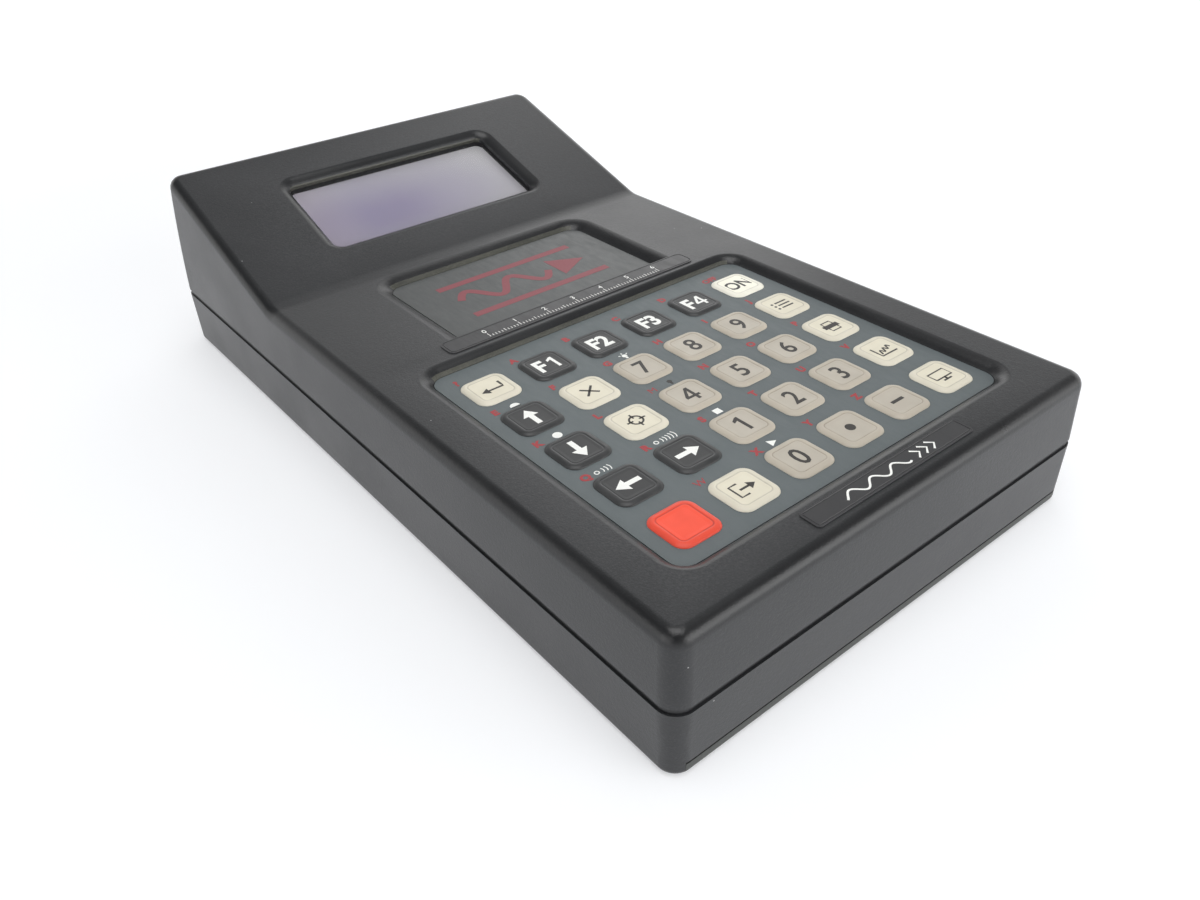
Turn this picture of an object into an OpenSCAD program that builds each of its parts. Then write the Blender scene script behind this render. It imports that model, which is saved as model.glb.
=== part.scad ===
/* [Case] */
// Width of the case
body_w = 138; // [134:1:146]
// Length of the case
body_l = 242; // [238:1:250]
// Height of the flat deck
deck_h = 37.5; // [37:0.5:40]
// Height that the sloped head would reach at the back
head_h = 62.3; // [61.3:0.2:63.3]
// Length of the sloped head, as a share of the case's length
head_share = 0.3043; // [0.298:0.0001:0.31]
// Corner radius seen from above
corner_r = 5; // [4.6:0.1:6]
// Rounding of the top edges
edge_r = 3.2; // [2:0.1:3.6]
// Radius of the soft bend between deck and head
bend_r = 16; // [12:1:16]
// How far the back leans in at its top
back_lean = 6.5; // [6:0.1:6.8]
// How far the back of the upper half bulges out at half its height
back_bow = 1; // [0.6:0.1:1.2]
// Draft of the upper half at each side
upper_draft = 0.3; // [0.1:0.05:0.5]
// Wall thickness of both halves
wall = 2.5; // [2.3:0.1:2.8]
// Thickness of the back wall
back_wall = 8.4; // [8.2:0.1:8.5]
// Height of the lower half at its rim
seam_z = 17.75; // [17:0.25:18.5]
// Height of the groove between the halves
groove_h = 1.3; // [0.8:0.1:1.6]
// Depth of the groove between the halves
groove_depth = 1.2; // [1:0.1:1.4]
// Corner radius of the groove's inner face
groove_corner_r = 5; // [4.6:0.1:5.6]
// Bevel of the upper half's bottom edge
bevel = 0.4; // [0.2:0.1:0.6]
// Rounding of the bottom edge
foot_r = 2; // [1.6:0.1:2.2]
// Draft of the lower half at each side
lower_draft = 0.5; // [0.3:0.05:0.6]
// Thickness of the rim that stands behind the groove
tongue_t = 1.4; // [1.3:0.05:1.6]
// Height of the rim above the lower half's edge
tongue_h = 2.75; // [2.5:0.05:3]
// Height of the seal on the rim
seal_h = 1; // [0.8:0.1:1.2]
// Width of the seal
seal_w = 1; // [0.9:0.05:1.1]

/* [Keypad] */
// Keys side by side
key_columns = 6; // [6:1:6]
// Keys one behind another
key_rows = 5; // [5:1:5]
// Distance from key to key
key_pitch = 17.3; // [17:0.1:17.4]
// Width of a key
key_w = 12.4; // [12:0.1:12.6]
// Corner radius of a key
key_corner_r = 3; // [2.6:0.1:3.2]
// Rounding of a key's top edge
key_edge_r = 0.5; // [0.3:0.1:0.6]
// Width of a key's raised rim
key_rim = 1.35; // [1.1:0.05:1.5]
// Depth of the dish inside the rim
key_dish = 0.25; // [0.15:0.05:0.35]
// Height of a key above the panel
key_proud = 0.9; // [0.8:0.05:1.1]
// Travel of a key
key_travel = 0.5; // [0.4:0.05:0.6]
// Overlap of the key's foot under the panel
key_flange = 0.5; // [0.4:0.05:0.6]
// Thickness of the key's foot
key_flange_t = 0.3; // [0.25:0.05:0.4]
// Width of the panel
panel_w = 107.2; // [106.6:0.2:108]
// Length of the panel
panel_l = 93; // [92.6:0.2:93.6]
// Distance from the front end to the panel
panel_front = 14.6; // [14.4:0.1:15]
// Centre of the keys in front of the panel's centre
key_shift = 1.5; // [1:0.1:1.8]
// Depth of the panel below the deck
panel_depth = 2.1; // [1.9:0.1:2.3]
// Radius of the keypad recess's shoulder
panel_shoulder_r = 5; // [4.5:0.1:5.4]
// Corner radius of the recess floors
recess_corner_r = 4.5; // [4:0.1:5]
// How far a shoulder's arc would rise above the surface
shoulder_rise = 0.05; // [0.03:0.01:0.08]
// Thickness of the grey panel
overlay_t = 0.5; // [0.4:0.05:0.6]
// Thickness of the spacer under it
spacer_t = 1.2; // [1.2:0.05:1.4]
// Thickness of the keypad circuit
circuit_t = 0.4; // [0.3:0.05:0.5]
// Radius of a contact disc
contact_r = 2.5; // [2:0.1:3]
// Thickness of a contact disc
contact_t = 0.05; // [0.03:0.01:0.08]
// Thickness of the case under the keypad
tray_t = 2; // [1.8:0.1:2.2]

/* [Name panel and strips] */
// Width of the name panel's floor
name_w = 70; // [68:1:72]
// Distance from the name panel's back edge to the foot of the slope
name_back = 7.35; // [7.35:0.05:8.35]
// Distance from the keypad panel to the name recess
name_gap = 11.9; // [11.4:0.1:12.4]
// Depth of the name panel below the deck
name_depth = 2.1; // [1.8:0.1:2.2]
// Radius of the name recess's shoulder
name_shoulder_r = 8; // [7:0.5:8]
// Thickness of the name panel
name_t = 0.5; // [0.4:0.1:0.6]
// Thickness of the case under the name panel
name_floor_t = 2; // [1.8:0.1:2.2]
// Length of the long strip
strip_w = 86; // [80:1:88]
// Width of the long strip
strip_l = 7; // [6:0.2:7]
// Straight part of the long strip's ends
strip_end = 0.4; // [0.2:0.1:1]
// Gap from the name recess to the long strip
strip_gap = 0.4; // [0.3:0.1:0.6]
// Thickness of both strips
strip_t = 0.3; // [0.2:0.05:0.4]
// Length of the front strip
front_strip_w = 52.4; // [50:0.2:56]
// Width of the front strip
front_strip_l = 5.8; // [5:0.2:6]
// Corner radius of the front strip
front_strip_r = 1; // [0.5:0.1:1.5]
// Distance of the front strip from the front end
front_strip_back = 4.6; // [4.4:0.1:5]

/* [Display] */
// Width of the display that can be seen
view_w = 74.4; // [73:0.2:75]
// Height of the display that can be seen
view_l = 33.4; // [33:0.2:34]
// Centre of the display up the slope, as a share of the slope
view_share = 0.443; // [0.436:0.001:0.45]
// Corner radius of the display's opening
view_corner_r = 3; // [2.5:0.1:3.5]
// Depth of the window below the slope
window_depth = 3; // [2.8:0.1:3.2]
// Depth of the display recess's shoulder
view_shoulder_depth = 1.9; // [1.7:0.1:2.1]
// Radius of the display recess's shoulder
view_shoulder_r = 5; // [4.6:0.1:5.4]
// Overlap of the window behind the case
window_lap = 3; // [2.5:0.1:3.2]
// Thickness of the window
window_t = 1.5; // [1.3:0.1:1.7]
// Thickness of the gasket
gasket_t = 1; // [0.8:0.1:1.2]
// Width of the gasket
gasket_w = 3.2; // [3:0.1:3.4]
// Thickness of the display bezel's sheet
bezel_sheet = 0.5; // [0.4:0.05:0.6]
// Height of the display bezel
bezel_h = 4; // [3.8:0.1:4.4]
// Width of the bezel's rim over the glass
bezel_lap = 2.8; // [2.4:0.1:3]
// Thickness of the display glass
glass_t = 2.2; // [2:0.1:2.4]
// Thickness of every circuit board
board_t = 1.6; // [1.5:0.1:1.7]
// Width of the display board
display_board_w = 98; // [96:1:100]
// Length of the display board, as a share of the slope
display_board_share = 0.7205; // [0.7155:0.001:0.7255]
// Distance of the display screws from the display board's edges
display_screw_edge = 3.5; // [3:0.1:3.6]
// Radius of the posts for the boards
post_r = 2.8; // [2.6:0.1:3]

/* [Inside] */
// Diameter of a battery cell
cell_d = 22.5; // [22:0.1:22.6]
// Length of a battery cell
cell_l = 43; // [42:0.5:43]
// Cells side by side
cell_columns = 5; // [5:1:5]
// Rows of cells
cell_rows = 2; // [2:1:2]
// Thickness of the web between two cells, as a share of the cell
web_share = 0.8; // [0.7:0.05:0.85]
// Space round the battery pack
bay_gap = 1; // [0.8:0.1:1.2]
// Distance from the front end to the battery pack
pack_front = 12.5; // [12.3:0.1:13]
// Thickness of the bay's walls and of the ribs
rib_t = 2; // [1.8:0.1:2.2]
// Thickness of the battery contacts
contact_sheet = 0.3; // [0.2:0.05:0.4]
// Width of a battery contact
contact_w = 8; // [6:0.5:10]
// Height of a battery contact
contact_h = 10; // [8:0.5:12]
// Distance between the battery contacts
contact_x = 45; // [40:1:50]
// Width of the main board
board_w = 108; // [104:1:110]
// Distance from the battery bay to the main board
board_front = 10.5; // [9.5:0.5:16]
// Distance from the back wall to the main board
board_back = 4.5; // [4.2:0.1:5]
// Distance of the board screws from the board's sides and front edge
board_screw_edge = 5; // [4.5:0.1:5.5]
// Distance of the back board screws from the board's back edge
board_screw_back = 12; // [11.5:0.5:13]
// Corner radius of the boards
board_corner_r = 2; // [1:0.5:3]
// Length of the shield can, as a share of the main board's length
can_share = 0.288; // [0.25:0.001:0.3]
// Width of the shield can
can_w = 46; // [40:1:50]
// Height of the shield can
can_h = 4.6; // [4:0.1:4.8]
// Distance from the board's front edge to the shield can, as a share of the main board's length
can_front_share = 0.11; // [0.1:0.005:0.12]
// Sheet of the shield can
can_sheet = 0.4; // [0.3:0.05:0.5]
// Radius of the sounder
sounder_r = 6; // [5:0.5:7]
// Height of the sounder
sounder_h = 6.5; // [5:0.5:7]
// Distance of the sounder to the left of the middle
sounder_x = 40; // [38:1:44]
// Distance from the board's back edge to the sounder, as a share of the main board's length
sounder_share = 0.25; // [0.22:0.01:0.28]
// Radius of the sounder's hole
sounder_hole_r = 1; // [0.8:0.1:1.4]
// Thickness of the flat cables
ribbon_t = 0.25; // [0.2:0.01:0.3]
// Width of the flat cables
ribbon_w = 20; // [16:1:24]
// Height of a flat cable's header
header_h = 2; // [1.8:0.1:2.2]
// Depth of a flat cable's header
header_l = 4; // [3.5:0.1:4.5]
// How far a header stands out beside its flat cable
header_side = 1; // [0.5:0.1:1.5]
// Bulge of a flat cable
ribbon_bulge = 1.6; // [1:0.1:2]
// Distance of the slot for the keypad's tail behind the panel's edge
tail_inset = 1.5; // [1.2:0.1:2]
// Width of the slot for the keypad's tail
tail_slot = 1; // [0.8:0.1:1.2]

/* [Battery door] */
// Width of the door's plate
door_w = 124; // [122:1:125]
// Width of the door's front strip
door_front_w = 130; // [129:0.5:131]
// Height of the door's front strip
door_front_h = 3.1; // [2.9:0.1:3.3]
// Depth of the door's front strip
door_front_l = 4.5; // [4:0.1:5]
// Thickness of the door's plate
door_t = 2.6; // [2.4:0.1:2.7]
// Height of the door's underside above the surface it lies over
door_lift = 0.25; // [0.2:0.05:0.3]
// How far the door's runners stand out
runner_w = 2; // [1.8:0.1:2.2]
// Height of the ledge under the runners
ledge_h = 1.2; // [1.1:0.1:1.3]
// Height of the runners
runner_h = 1.1; // [1:0.1:1.2]
// Running clearance of the door
door_gap = 0.1; // [0.08:0.01:0.12]
// Gap above the door's front strip
door_line = 0.5; // [0.3:0.05:0.6]
// Height of the floor over the door's grooves
groove_floor = 4.2; // [4:0.1:4.4]
// Ribs of the finger grip
grip_ribs = 7; // [5:1:9]
// Distance from rib to rib of the finger grip
grip_pitch = 2.4; // [2.2:0.1:2.6]
// Depth of the finger grip
grip_depth = 0.6; // [0.4:0.1:0.8]
// Length of a grip rib
grip_w = 30; // [24:1:36]
// Travel of the door
door_travel = 92; // [80:1:95]

/* [Fasteners] */
// Radius of a case screw's head
screw_head_r = 2.9; // [2.7:0.1:3]
// Height of a case screw's head
screw_head_h = 2.6; // [2.4:0.1:2.8]
// Radius of a case screw's shaft
screw_r = 1.5; // [1.4:0.05:1.55]
// Depth of the counterbores in the bottom
screw_sink = 3.6; // [3.4:0.1:3.8]
// Radius of the screw bosses
boss_r = 4.5; // [4.3:0.1:4.7]
// Distance of the back and middle bosses from the middle line
boss_x = 60.4; // [60.2:0.1:61]
// Distance of the front bosses from the middle line
front_boss_x = 50; // [46:1:52]
// Distance of the front bosses from the front end
front_boss_y = 7.4; // [7.3:0.1:7.6]
// Distance of the middle bosses behind the bay
mid_boss_y = 9; // [8:0.5:10]
// Distance of the back bosses from the back end
back_boss_y = 13.5; // [13.5:0.5:14.5]
// Radius of a threaded insert
insert_r = 2.3; // [2.2:0.05:2.4]
// Length of a threaded insert
insert_h = 6.5; // [6:0.1:7]
// Radius of a board screw's head
small_head_r = 2.4; // [2.2:0.1:2.6]
// Height of a board screw's head
small_head_h = 1.5; // [1.3:0.1:1.7]
// Radius of a board screw's shaft
small_r = 1.2; // [1.1:0.05:1.25]
// Length of a board screw under its head
small_l = 6; // [5:0.1:6]
// Width of a screw's cross slot
slot_w = 0.7; // [0.6:0.05:0.8]
// Depth of a screw's cross slot
slot_depth = 1; // [0.8:0.1:1.1]
// Length of a screw's cross slot, as a share of its head
slot_share = 0.6; // [0.5:0.05:0.7]

/* [Connectors] */
// Height of the connectors' row
connector_z = 32; // [31.5:0.5:33]
// Height of the connectors' row above the board
connector_rise = 6.3; // [6.1:0.1:6.5]
// Width of the connector recess
connector_w = 118; // [116:1:120]
// Height of the connector recess
connector_h = 20; // [19:0.5:21]
// Corner radius of the connector recess
connector_corner_r = 3; // [2:0.5:4]
// Depth of the connector recess
connector_depth = 5.4; // [5.3:0.1:5.5]
// Distance from socket to socket
socket_pitch = 18; // [17.5:0.5:18.5]
// Distance of the outer socket from the middle line
socket_x = 47; // [46.5:0.5:48]
// Radius of a socket's bore
socket_bore_r = 4.5; // [4.3:0.1:4.7]
// Radius of a socket's body
socket_r = 6; // [5.8:0.1:6.2]
// Radius of a socket's front ring
socket_ring_r = 7.5; // [7.2:0.1:8]
// Height of a socket's front ring
socket_ring_h = 2.8; // [2.4:0.1:3]
// Depth of a socket's bore
socket_bore_l = 9; // [8:0.5:10]
// Length of a socket behind the recess floor
socket_back = 15; // [14:0.5:16]
// Thickness of a socket's nut
socket_nut_t = 2; // [1.8:0.1:2.2]
// Radius of a socket's contact hole
pin_hole_r = 0.55; // [0.5:0.05:0.6]
// Depth of a socket's contact hole
pin_hole_l = 3; // [2.5:0.5:3.5]
// Radius of the ring of contact holes
pin_ring_r = 2.4; // [2.2:0.1:2.6]
// Contact holes of the signal socket
pin_count = 6; // [5:1:7]
// Distance of the serial port from the middle line
serial_x = 14; // [14:0.5:16]
// Distance between the serial port's posts
serial_post_pitch = 24.99; // [24.99:0.01:24.99]
// Width of the serial port's shell at its wide side
serial_w = 16.9; // [16.5:0.1:17.1]
// Height of the serial port's shell
serial_h = 8.3; // [8.1:0.1:8.5]
// How much narrower the shell is at its narrow side, at each end
serial_taper = 1.5; // [1.3:0.1:1.6]
// How far the shell stands out of its flange
serial_out = 5.9; // [5.7:0.1:6]
// Width of the serial port's flange
serial_flange_w = 30.8; // [30.6:0.1:31]
// Height of the serial port's flange
serial_flange_h = 12.4; // [12.2:0.1:12.5]
// Thickness of the flange
serial_flange_t = 0.8; // [0.7:0.1:0.9]
// Depth of the serial port's block
serial_block_l = 9; // [8:0.5:10]
// Width across a post's flats
post_flats = 5; // [4.6:0.1:5.2]
// Length of a post outside
post_l = 2.8; // [2.5:0.1:3]
// Radius of a post's hole
post_hole_r = 1.5; // [1.45:0.05:1.55]
// Radius of a post's stem
post_stem_r = 2.1; // [2:0.1:2.2]
// Contacts of the serial port
serial_pins = 9; // [9:2:9]
// Distance between the serial port's contacts
serial_pin_pitch = 2.77; // [2.77:0.01:2.77]
// Distance between the two rows of contacts
serial_row_pitch = 2.84; // [2.84:0.01:2.84]
// Distance of the power jack from the middle line
jack_x = 45; // [44:0.5:46]
// Width of the power jack
jack_w = 9; // [9:0.1:10]
// Length of the power jack's block
jack_l = 13; // [12:0.5:14]
// Height of the jack's block above its axis
jack_top = 4.7; // [4.6:0.1:5]
// Radius of the jack's nose
jack_nose_r = 4.2; // [4:0.1:4.3]
// How far the jack's nose stands out of the recess floor
jack_nose_l = 0.6; // [0.4:0.1:1]
// Radius of the jack's bore
jack_bore_r = 3; // [2.9:0.1:3.1]
// Depth of the jack's bore
jack_bore_l = 9; // [8.5:0.5:9.5]
// Radius of the jack's pin
jack_pin_r = 1; // [0.95:0.05:1.1]
// How far the jack's pin ends behind the mouth
jack_pin_back = 1; // [0.8:0.1:1.4]

/* [Fits] */
// Gap round a piece that is set into the case
set_gap = 0.2; // [0.15:0.05:0.25]
// Gap between a key and the panel round it
key_gap = 0.1; // [0.08:0.01:0.12]
// Running clearance of the rim in the rebate
rim_gap = 0.05; // [0.04:0.01:0.08]
// Gap of a part that only sits beside another
seat_gap = 0.3; // [0.2:0.05:0.3]
// Clearance round a screw
screw_gap = 0.2; // [0.15:0.05:0.3]
// How far a cut runs past a surface
overrun = 1; // [1:0.1:1.2]

/* [Hidden] */
$fn = 48;
corner_steps = 6;
edge_steps = 6;
bend_steps = 8;
bow_steps = 6;
ribbon_steps = 12;
head_run = body_l * head_share;
slope = atan((head_h - deck_h) / head_run);
slope_l = head_run / cos(slope);
break_y = body_l / 2 - head_run;
bend_start = break_y - bend_r * tan(slope / 2);
bend_end = break_y + bend_r * tan(slope / 2) * cos(slope);
upper_z = seam_z + groove_h;
tongue_top = seam_z + tongue_h;
rebate_top = tongue_top + seal_h;
inner_w = body_w - 2 * wall;
inner_front = -body_l / 2 + wall;
inner_back = body_l / 2 - back_wall;
inner_corner_r = groove_corner_r - (wall - groove_depth) / 2;
panel_y = body_l / 2 - panel_front - panel_l / 2;
panel_z = deck_h - panel_depth;
overlay_z = panel_z - overlay_t;
spacer_z = overlay_z - spacer_t;
circuit_z = spacer_z - circuit_t;
deck_ceiling = circuit_z - tray_t;
name_seat_z = deck_h - name_depth - name_t;
name_ceiling = name_seat_z - name_floor_t;
panel_back_y = -panel_y + panel_l / 2;
name_front_y = panel_back_y + name_gap;
name_back_y = break_y - name_back;
key_mid_y = -panel_y - key_shift;
flange_top = overlay_z - key_gap;
flange_z = flange_top - key_flange_t;
key_foot_z = spacer_z + contact_t + key_travel + key_gap / 2;
key_top = panel_z + key_proud;
view_s = slope_l * view_share;
window_w = view_w + 2 * window_lap;
window_l = view_l + 2 * window_lap;
window_back = window_depth + window_t;
gasket_back = window_back + gasket_t;
bezel_back = gasket_back + bezel_h;
display_board_back = bezel_back + board_t;
display_board_l = slope_l * display_board_share;
display_screw_x = display_board_w - 2 * display_screw_edge;
display_screw_y = display_board_l - 2 * display_screw_edge;
pack_w = cell_d * cell_columns;
pack_l = cell_l * cell_rows;
pack_z = door_lift + door_t + seat_gap;
pack_top = pack_z + cell_d;
pack_y0 = -body_l / 2 + pack_front;
pack_y1 = pack_y0 + pack_l;
bay_w = pack_w + 2 * bay_gap;
bay_y1 = pack_y1 + bay_gap;
door_y1 = bay_y1 + rib_t + bay_gap;
door_l = door_y1 + body_l / 2;
boss_spots = [
    [-front_boss_x, -body_l / 2 + front_boss_y, groove_floor],
    [front_boss_x, -body_l / 2 + front_boss_y, groove_floor],
    [-boss_x, door_y1 + mid_boss_y, 0],
    [boss_x, door_y1 + mid_boss_y, 0],
    [-boss_x, body_l / 2 - back_boss_y, 0],
    [boss_x, body_l / 2 - back_boss_y, 0]
];
screw_end = tongue_top + insert_h - screw_gap;
board_top = connector_z - connector_rise;
board_z = board_top - board_t;
board_y1 = inner_back - board_back;
board_l = board_y1 - door_y1 - board_front;
board_y = board_y1 - board_l / 2;
board_screw_x = board_w - 2 * board_screw_edge;
board_screw_y = board_l - board_screw_edge - board_screw_back;
back_skin = back_wall - connector_depth;
lower_inset = groove_depth + tongue_t;
notch_top = door_lift + door_front_h + door_line;
front_floor_z = notch_top + rib_t;
glass_w = window_w - 2 * seat_gap;
glass_l = window_l - 2 * seat_gap;
bezel_w = glass_w + 2 * bezel_sheet + 2 * set_gap;
bezel_l = glass_l + 2 * bezel_sheet + 2 * set_gap;
header_y = board_y1 - board_l + board_screw_edge;
recess_y = body_l / 2 - connector_depth;
slot_y = panel_back_y - tail_inset - tail_slot / 2;

// Places of the keys, counted from the left and from the display
function key_x(column) = (column - (key_columns - 1) / 2) * key_pitch;
function key_y(row) = key_mid_y + ((key_rows - 1) / 2 - row) * key_pitch;

// Height of the case's top over its length: deck, soft bend, sloped head
function top_z(y) = y <= bend_start ? deck_h
    : y >= bend_end ? deck_h + (y - break_y) * tan(slope)
    : deck_h + bend_r - sqrt(pow(bend_r, 2) - pow(y - bend_start, 2));

// Right half of the case's outline from the front to the back: centre, direction, and 1 at the back corner
corner_x = body_w / 2 - corner_r;
corner_y = body_l / 2 - corner_r;
half_outline = concat(
    [for (i = [0 : corner_steps]) let (a = 90 * i / corner_steps - 90)
        [corner_x, -corner_y, cos(a), sin(a), 0]],
    [for (i = [0 : bend_steps])
        [corner_x, bend_start + (bend_end - bend_start) * i / bend_steps, 1, 0, 0]],
    [for (i = [0 : corner_steps]) let (a = 90 * i / corner_steps)
        [corner_x, corner_y, cos(a), sin(a), 1]]
);
half_count = len(half_outline);
ring_count = 2 * half_count;

// One point of a ring: the outline moved in, leaned at the back and dropped from the top, or at one height
function ring_point(i, inset, drop, lean, level) =
    let (side = i < half_count ? 1 : -1)
    let (p = half_outline[side > 0 ? i : ring_count - 1 - i])
    let (y = p[1] + p[3] * (corner_r - inset) - p[4] * lean)
    [side * (p[0] + p[2] * (corner_r - inset)), y, level > 0 ? level : top_z(y) - drop];

function ring(inset, drop, lean, level) =
    [for (i = [0 : ring_count - 1]) ring_point(i, inset, drop, lean, level)];

function edge_ring(j) =
    let (a = 90 * j / edge_steps)
    let (drop = edge_r * (1 - sin(a)))
    ring(upper_draft + edge_r * (1 - cos(a)), drop, back_lean * (1 - drop / (head_h - upper_z)), 0);

// A ring between the bottom edge and the rounding, with the back bulging out in a shallow curve
function wall_ring(t) =
    let (low = ring(0, 0, 0, upper_z + bevel))
    let (high = edge_ring(0))
    [for (i = [0 : ring_count - 1])
        let (at_back = half_outline[i < half_count ? i : ring_count - 1 - i][4])
        low[i] + (high[i] - low[i]) * t + [0, at_back * back_bow * (1 - pow(2 * t - 1, 2)), 0]];

// The outer skin of the upper half, in rings from its bottom edge to the end of the top edge's rounding
module upper_skin() {
    rings = concat(
        [ring(bevel, 0, 0, upper_z)],
        [for (j = [0 : bow_steps - 1]) wall_ring(j / bow_steps)],
        [for (j = [0 : edge_steps]) edge_ring(j)]
    );
    last = (len(rings) - 1) * ring_count;
    walls = [for (j = [0 : len(rings) - 2], i = [0 : ring_count - 1])
        let (a = j * ring_count + i)
        let (b = j * ring_count + (i + 1) % ring_count)
        each [[a, b + ring_count, b], [a, a + ring_count, b + ring_count]]];
    caps = [for (i = [0 : half_count - 2])
        let (l = ring_count - 1 - i)
        each [
            [i, i + 1, l - 1], [i, l - 1, l],
            [last + i, last + l, last + l - 1], [last + i, last + l - 1, last + i + 1]
        ]];
    polyhedron(points = [for (r = rings) each r], faces = concat(walls, caps));
}

// A flat shape with round corners
module rounded(w, l, r) {
    square([w - 2 * r, l], center = true);
    square([w, l - 2 * r], center = true);
    for (x = [-1, 1], y = [-1, 1])
        translate([x * (w / 2 - r), y * (l / 2 - r)])
            circle(r);
}

module plate(w, l, r, t) {
    linear_extrude(t)
        rounded(w, l, r);
}

// Carries the child's profile round a rectangle; the profile's X counts outwards from the corners' axes
module run_round(w, l, r) {
    half_w = w / 2 - r;
    half_l = l / 2 - r;
    for (q = [0 : 3]) {
        out = q % 2 == 0 ? half_w : half_l;
        along = q % 2 == 0 ? half_l : half_w;
        rotate([0, 0, 90 * q]) {
            translate([out, along, 0])
                rotate_extrude(angle = 90)
                    children();
            translate([out, along, 0])
                rotate([90, 0, 0])
                    linear_extrude(2 * along)
                        children();
        }
    }
}

// A block between two heights, with the corner radius left out
module core(w, l, r, z0, z1) {
    translate([-w / 2 + r, -l / 2 + r, z0])
        cube([w - 2 * r, l - 2 * r, z1 - z0]);
}

// Cuts a recess with a rounded shoulder down from height 0
module recess(w, l, r, seat, depth, shoulder_r) {
    run = sqrt(pow(shoulder_r, 2) - pow(shoulder_r - depth - shoulder_rise, 2));
    run_round(w, l, r) {
        difference() {
            translate([0, -seat])
                square([r + run, seat + overrun]);
            intersection() {
                translate([r + run, shoulder_rise - shoulder_r])
                    circle(shoulder_r, $fn = 96);
                translate([r, -seat - overrun])
                    square([run + overrun, seat + 2 * overrun]);
            }
        }
    }
    core(w, l, r, -seat, overrun);
}

module on_slope() {
    translate([0, break_y, deck_h])
        rotate([slope, 0, 0])
            children();
}

module at_display() {
    on_slope()
        translate([0, view_s, 0])
            children();
}

module at_display_screws() {
    for (x = [-1, 1], y = [-1, 1])
        at_display()
            translate([x * display_screw_x / 2, y * display_screw_y / 2, 0])
                children();
}

module at_board_screws() {
    for (x = [-1, 1], y = [-1, 1])
        translate([x * board_screw_x / 2, board_y1 - board_screw_back - board_screw_y / 2 * (1 - y), 0])
            children();
}

// Puts the child at the recess floor of the back end, with its Z pointing out of the case
module at_back(x) {
    translate([x, recess_y, connector_z])
        rotate([-90, 0, 0])
            children();
}

// The outline of the serial port's shell, wide side up
module serial_outline(grow) {
    w = serial_w / 2 + grow;
    h = serial_h / 2 + grow;
    nip = serial_taper / 2;
    polygon([
        [-w + nip, -h], [w - nip, -h], [w, -h + nip], [w - serial_taper + nip / 2, h - nip],
        [w - serial_taper - nip, h], [-w + serial_taper + nip, h],
        [-w + serial_taper - nip / 2, h - nip], [-w, -h + nip]
    ]);
}

// Everything below the ceiling of the upper half, or below a plane that lies above it by the lift
module under_ceiling(lift) {
    slope_floor = deck_h - window_depth / cos(slope);
    meet_y = break_y + (name_ceiling - slope_floor) / tan(slope);
    end_z = slope_floor + (body_l - break_y) * tan(slope);
    rotate([90, 0, 90])
        translate([0, 0, -body_w / 2])
            linear_extrude(body_w)
                polygon([
                    [-body_l, 0], [-body_l, deck_ceiling + lift],
                    [panel_back_y + wall, deck_ceiling + lift], [panel_back_y + wall, name_ceiling + lift],
                    [meet_y, name_ceiling + lift], [body_l, end_z + lift], [body_l, 0]
                ]);
}

// The inside of the upper half
module upper_cavity() {
    mid_y = (inner_front + inner_back) / 2;
    intersection() {
        translate([0, mid_y, upper_z - overrun])
            plate(inner_w, inner_back - inner_front, inner_corner_r, head_h);
        under_ceiling(0);
    }
}

module name_recess() {
    l = name_back_y - name_front_y + 2 * recess_corner_r;
    translate([0, 0, deck_h])
        difference() {
            translate([0, name_back_y - l / 2, 0])
                recess(name_w, l, recess_corner_r, name_depth + name_t, name_depth, name_shoulder_r);
            translate([-body_w / 2, name_front_y - body_l, -deck_h])
                cube([body_w, body_l, 2 * deck_h]);
        }
}

// The posts that hang from the sloped ceiling and carry the display board
module display_posts() {
    difference() {
        at_display_screws()
            translate([0, 0, -bezel_back])
                cylinder(h = bezel_back - window_depth + overrun, r = post_r);
        at_display_screws()
            translate([0, 0, -bezel_back - overrun])
                cylinder(h = small_l - board_t + overrun + screw_gap, r = small_r);
    }
}

// The bosses that hold the threaded inserts
module upper_bosses() {
    difference() {
        intersection() {
            for (p = boss_spots)
                translate([p[0], p[1], tongue_top])
                    cylinder(h = head_h, r = boss_r);
            under_ceiling(overrun);
        }
        for (p = boss_spots)
            translate([p[0], p[1], tongue_top - overrun])
                cylinder(h = insert_h + overrun, r = insert_r);
    }
}

// The openings in the back wall, seen from the recess floor
module back_cuts() {
    at_back(0)
        plate(connector_w, connector_h, connector_corner_r, connector_depth + overrun);
    for (i = [0 : 2])
        at_back(-socket_x + i * socket_pitch)
            translate([0, 0, -back_skin - overrun])
                cylinder(h = back_skin + 2 * overrun, r = socket_r + rim_gap);
    at_back(serial_x)
        translate([0, 0, -back_skin - overrun])
            linear_extrude(back_skin + 2 * overrun)
                serial_outline(seat_gap);
    for (x = [-1, 1])
        at_back(serial_x + x * serial_post_pitch / 2)
            translate([0, 0, -back_skin - overrun])
                cylinder(h = back_skin + 2 * overrun, r = post_stem_r + rim_gap);
    at_back(jack_x)
        translate([0, 0, -back_skin - overrun])
            cylinder(h = back_skin + 2 * overrun, r = jack_nose_r + rim_gap);
}

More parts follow.
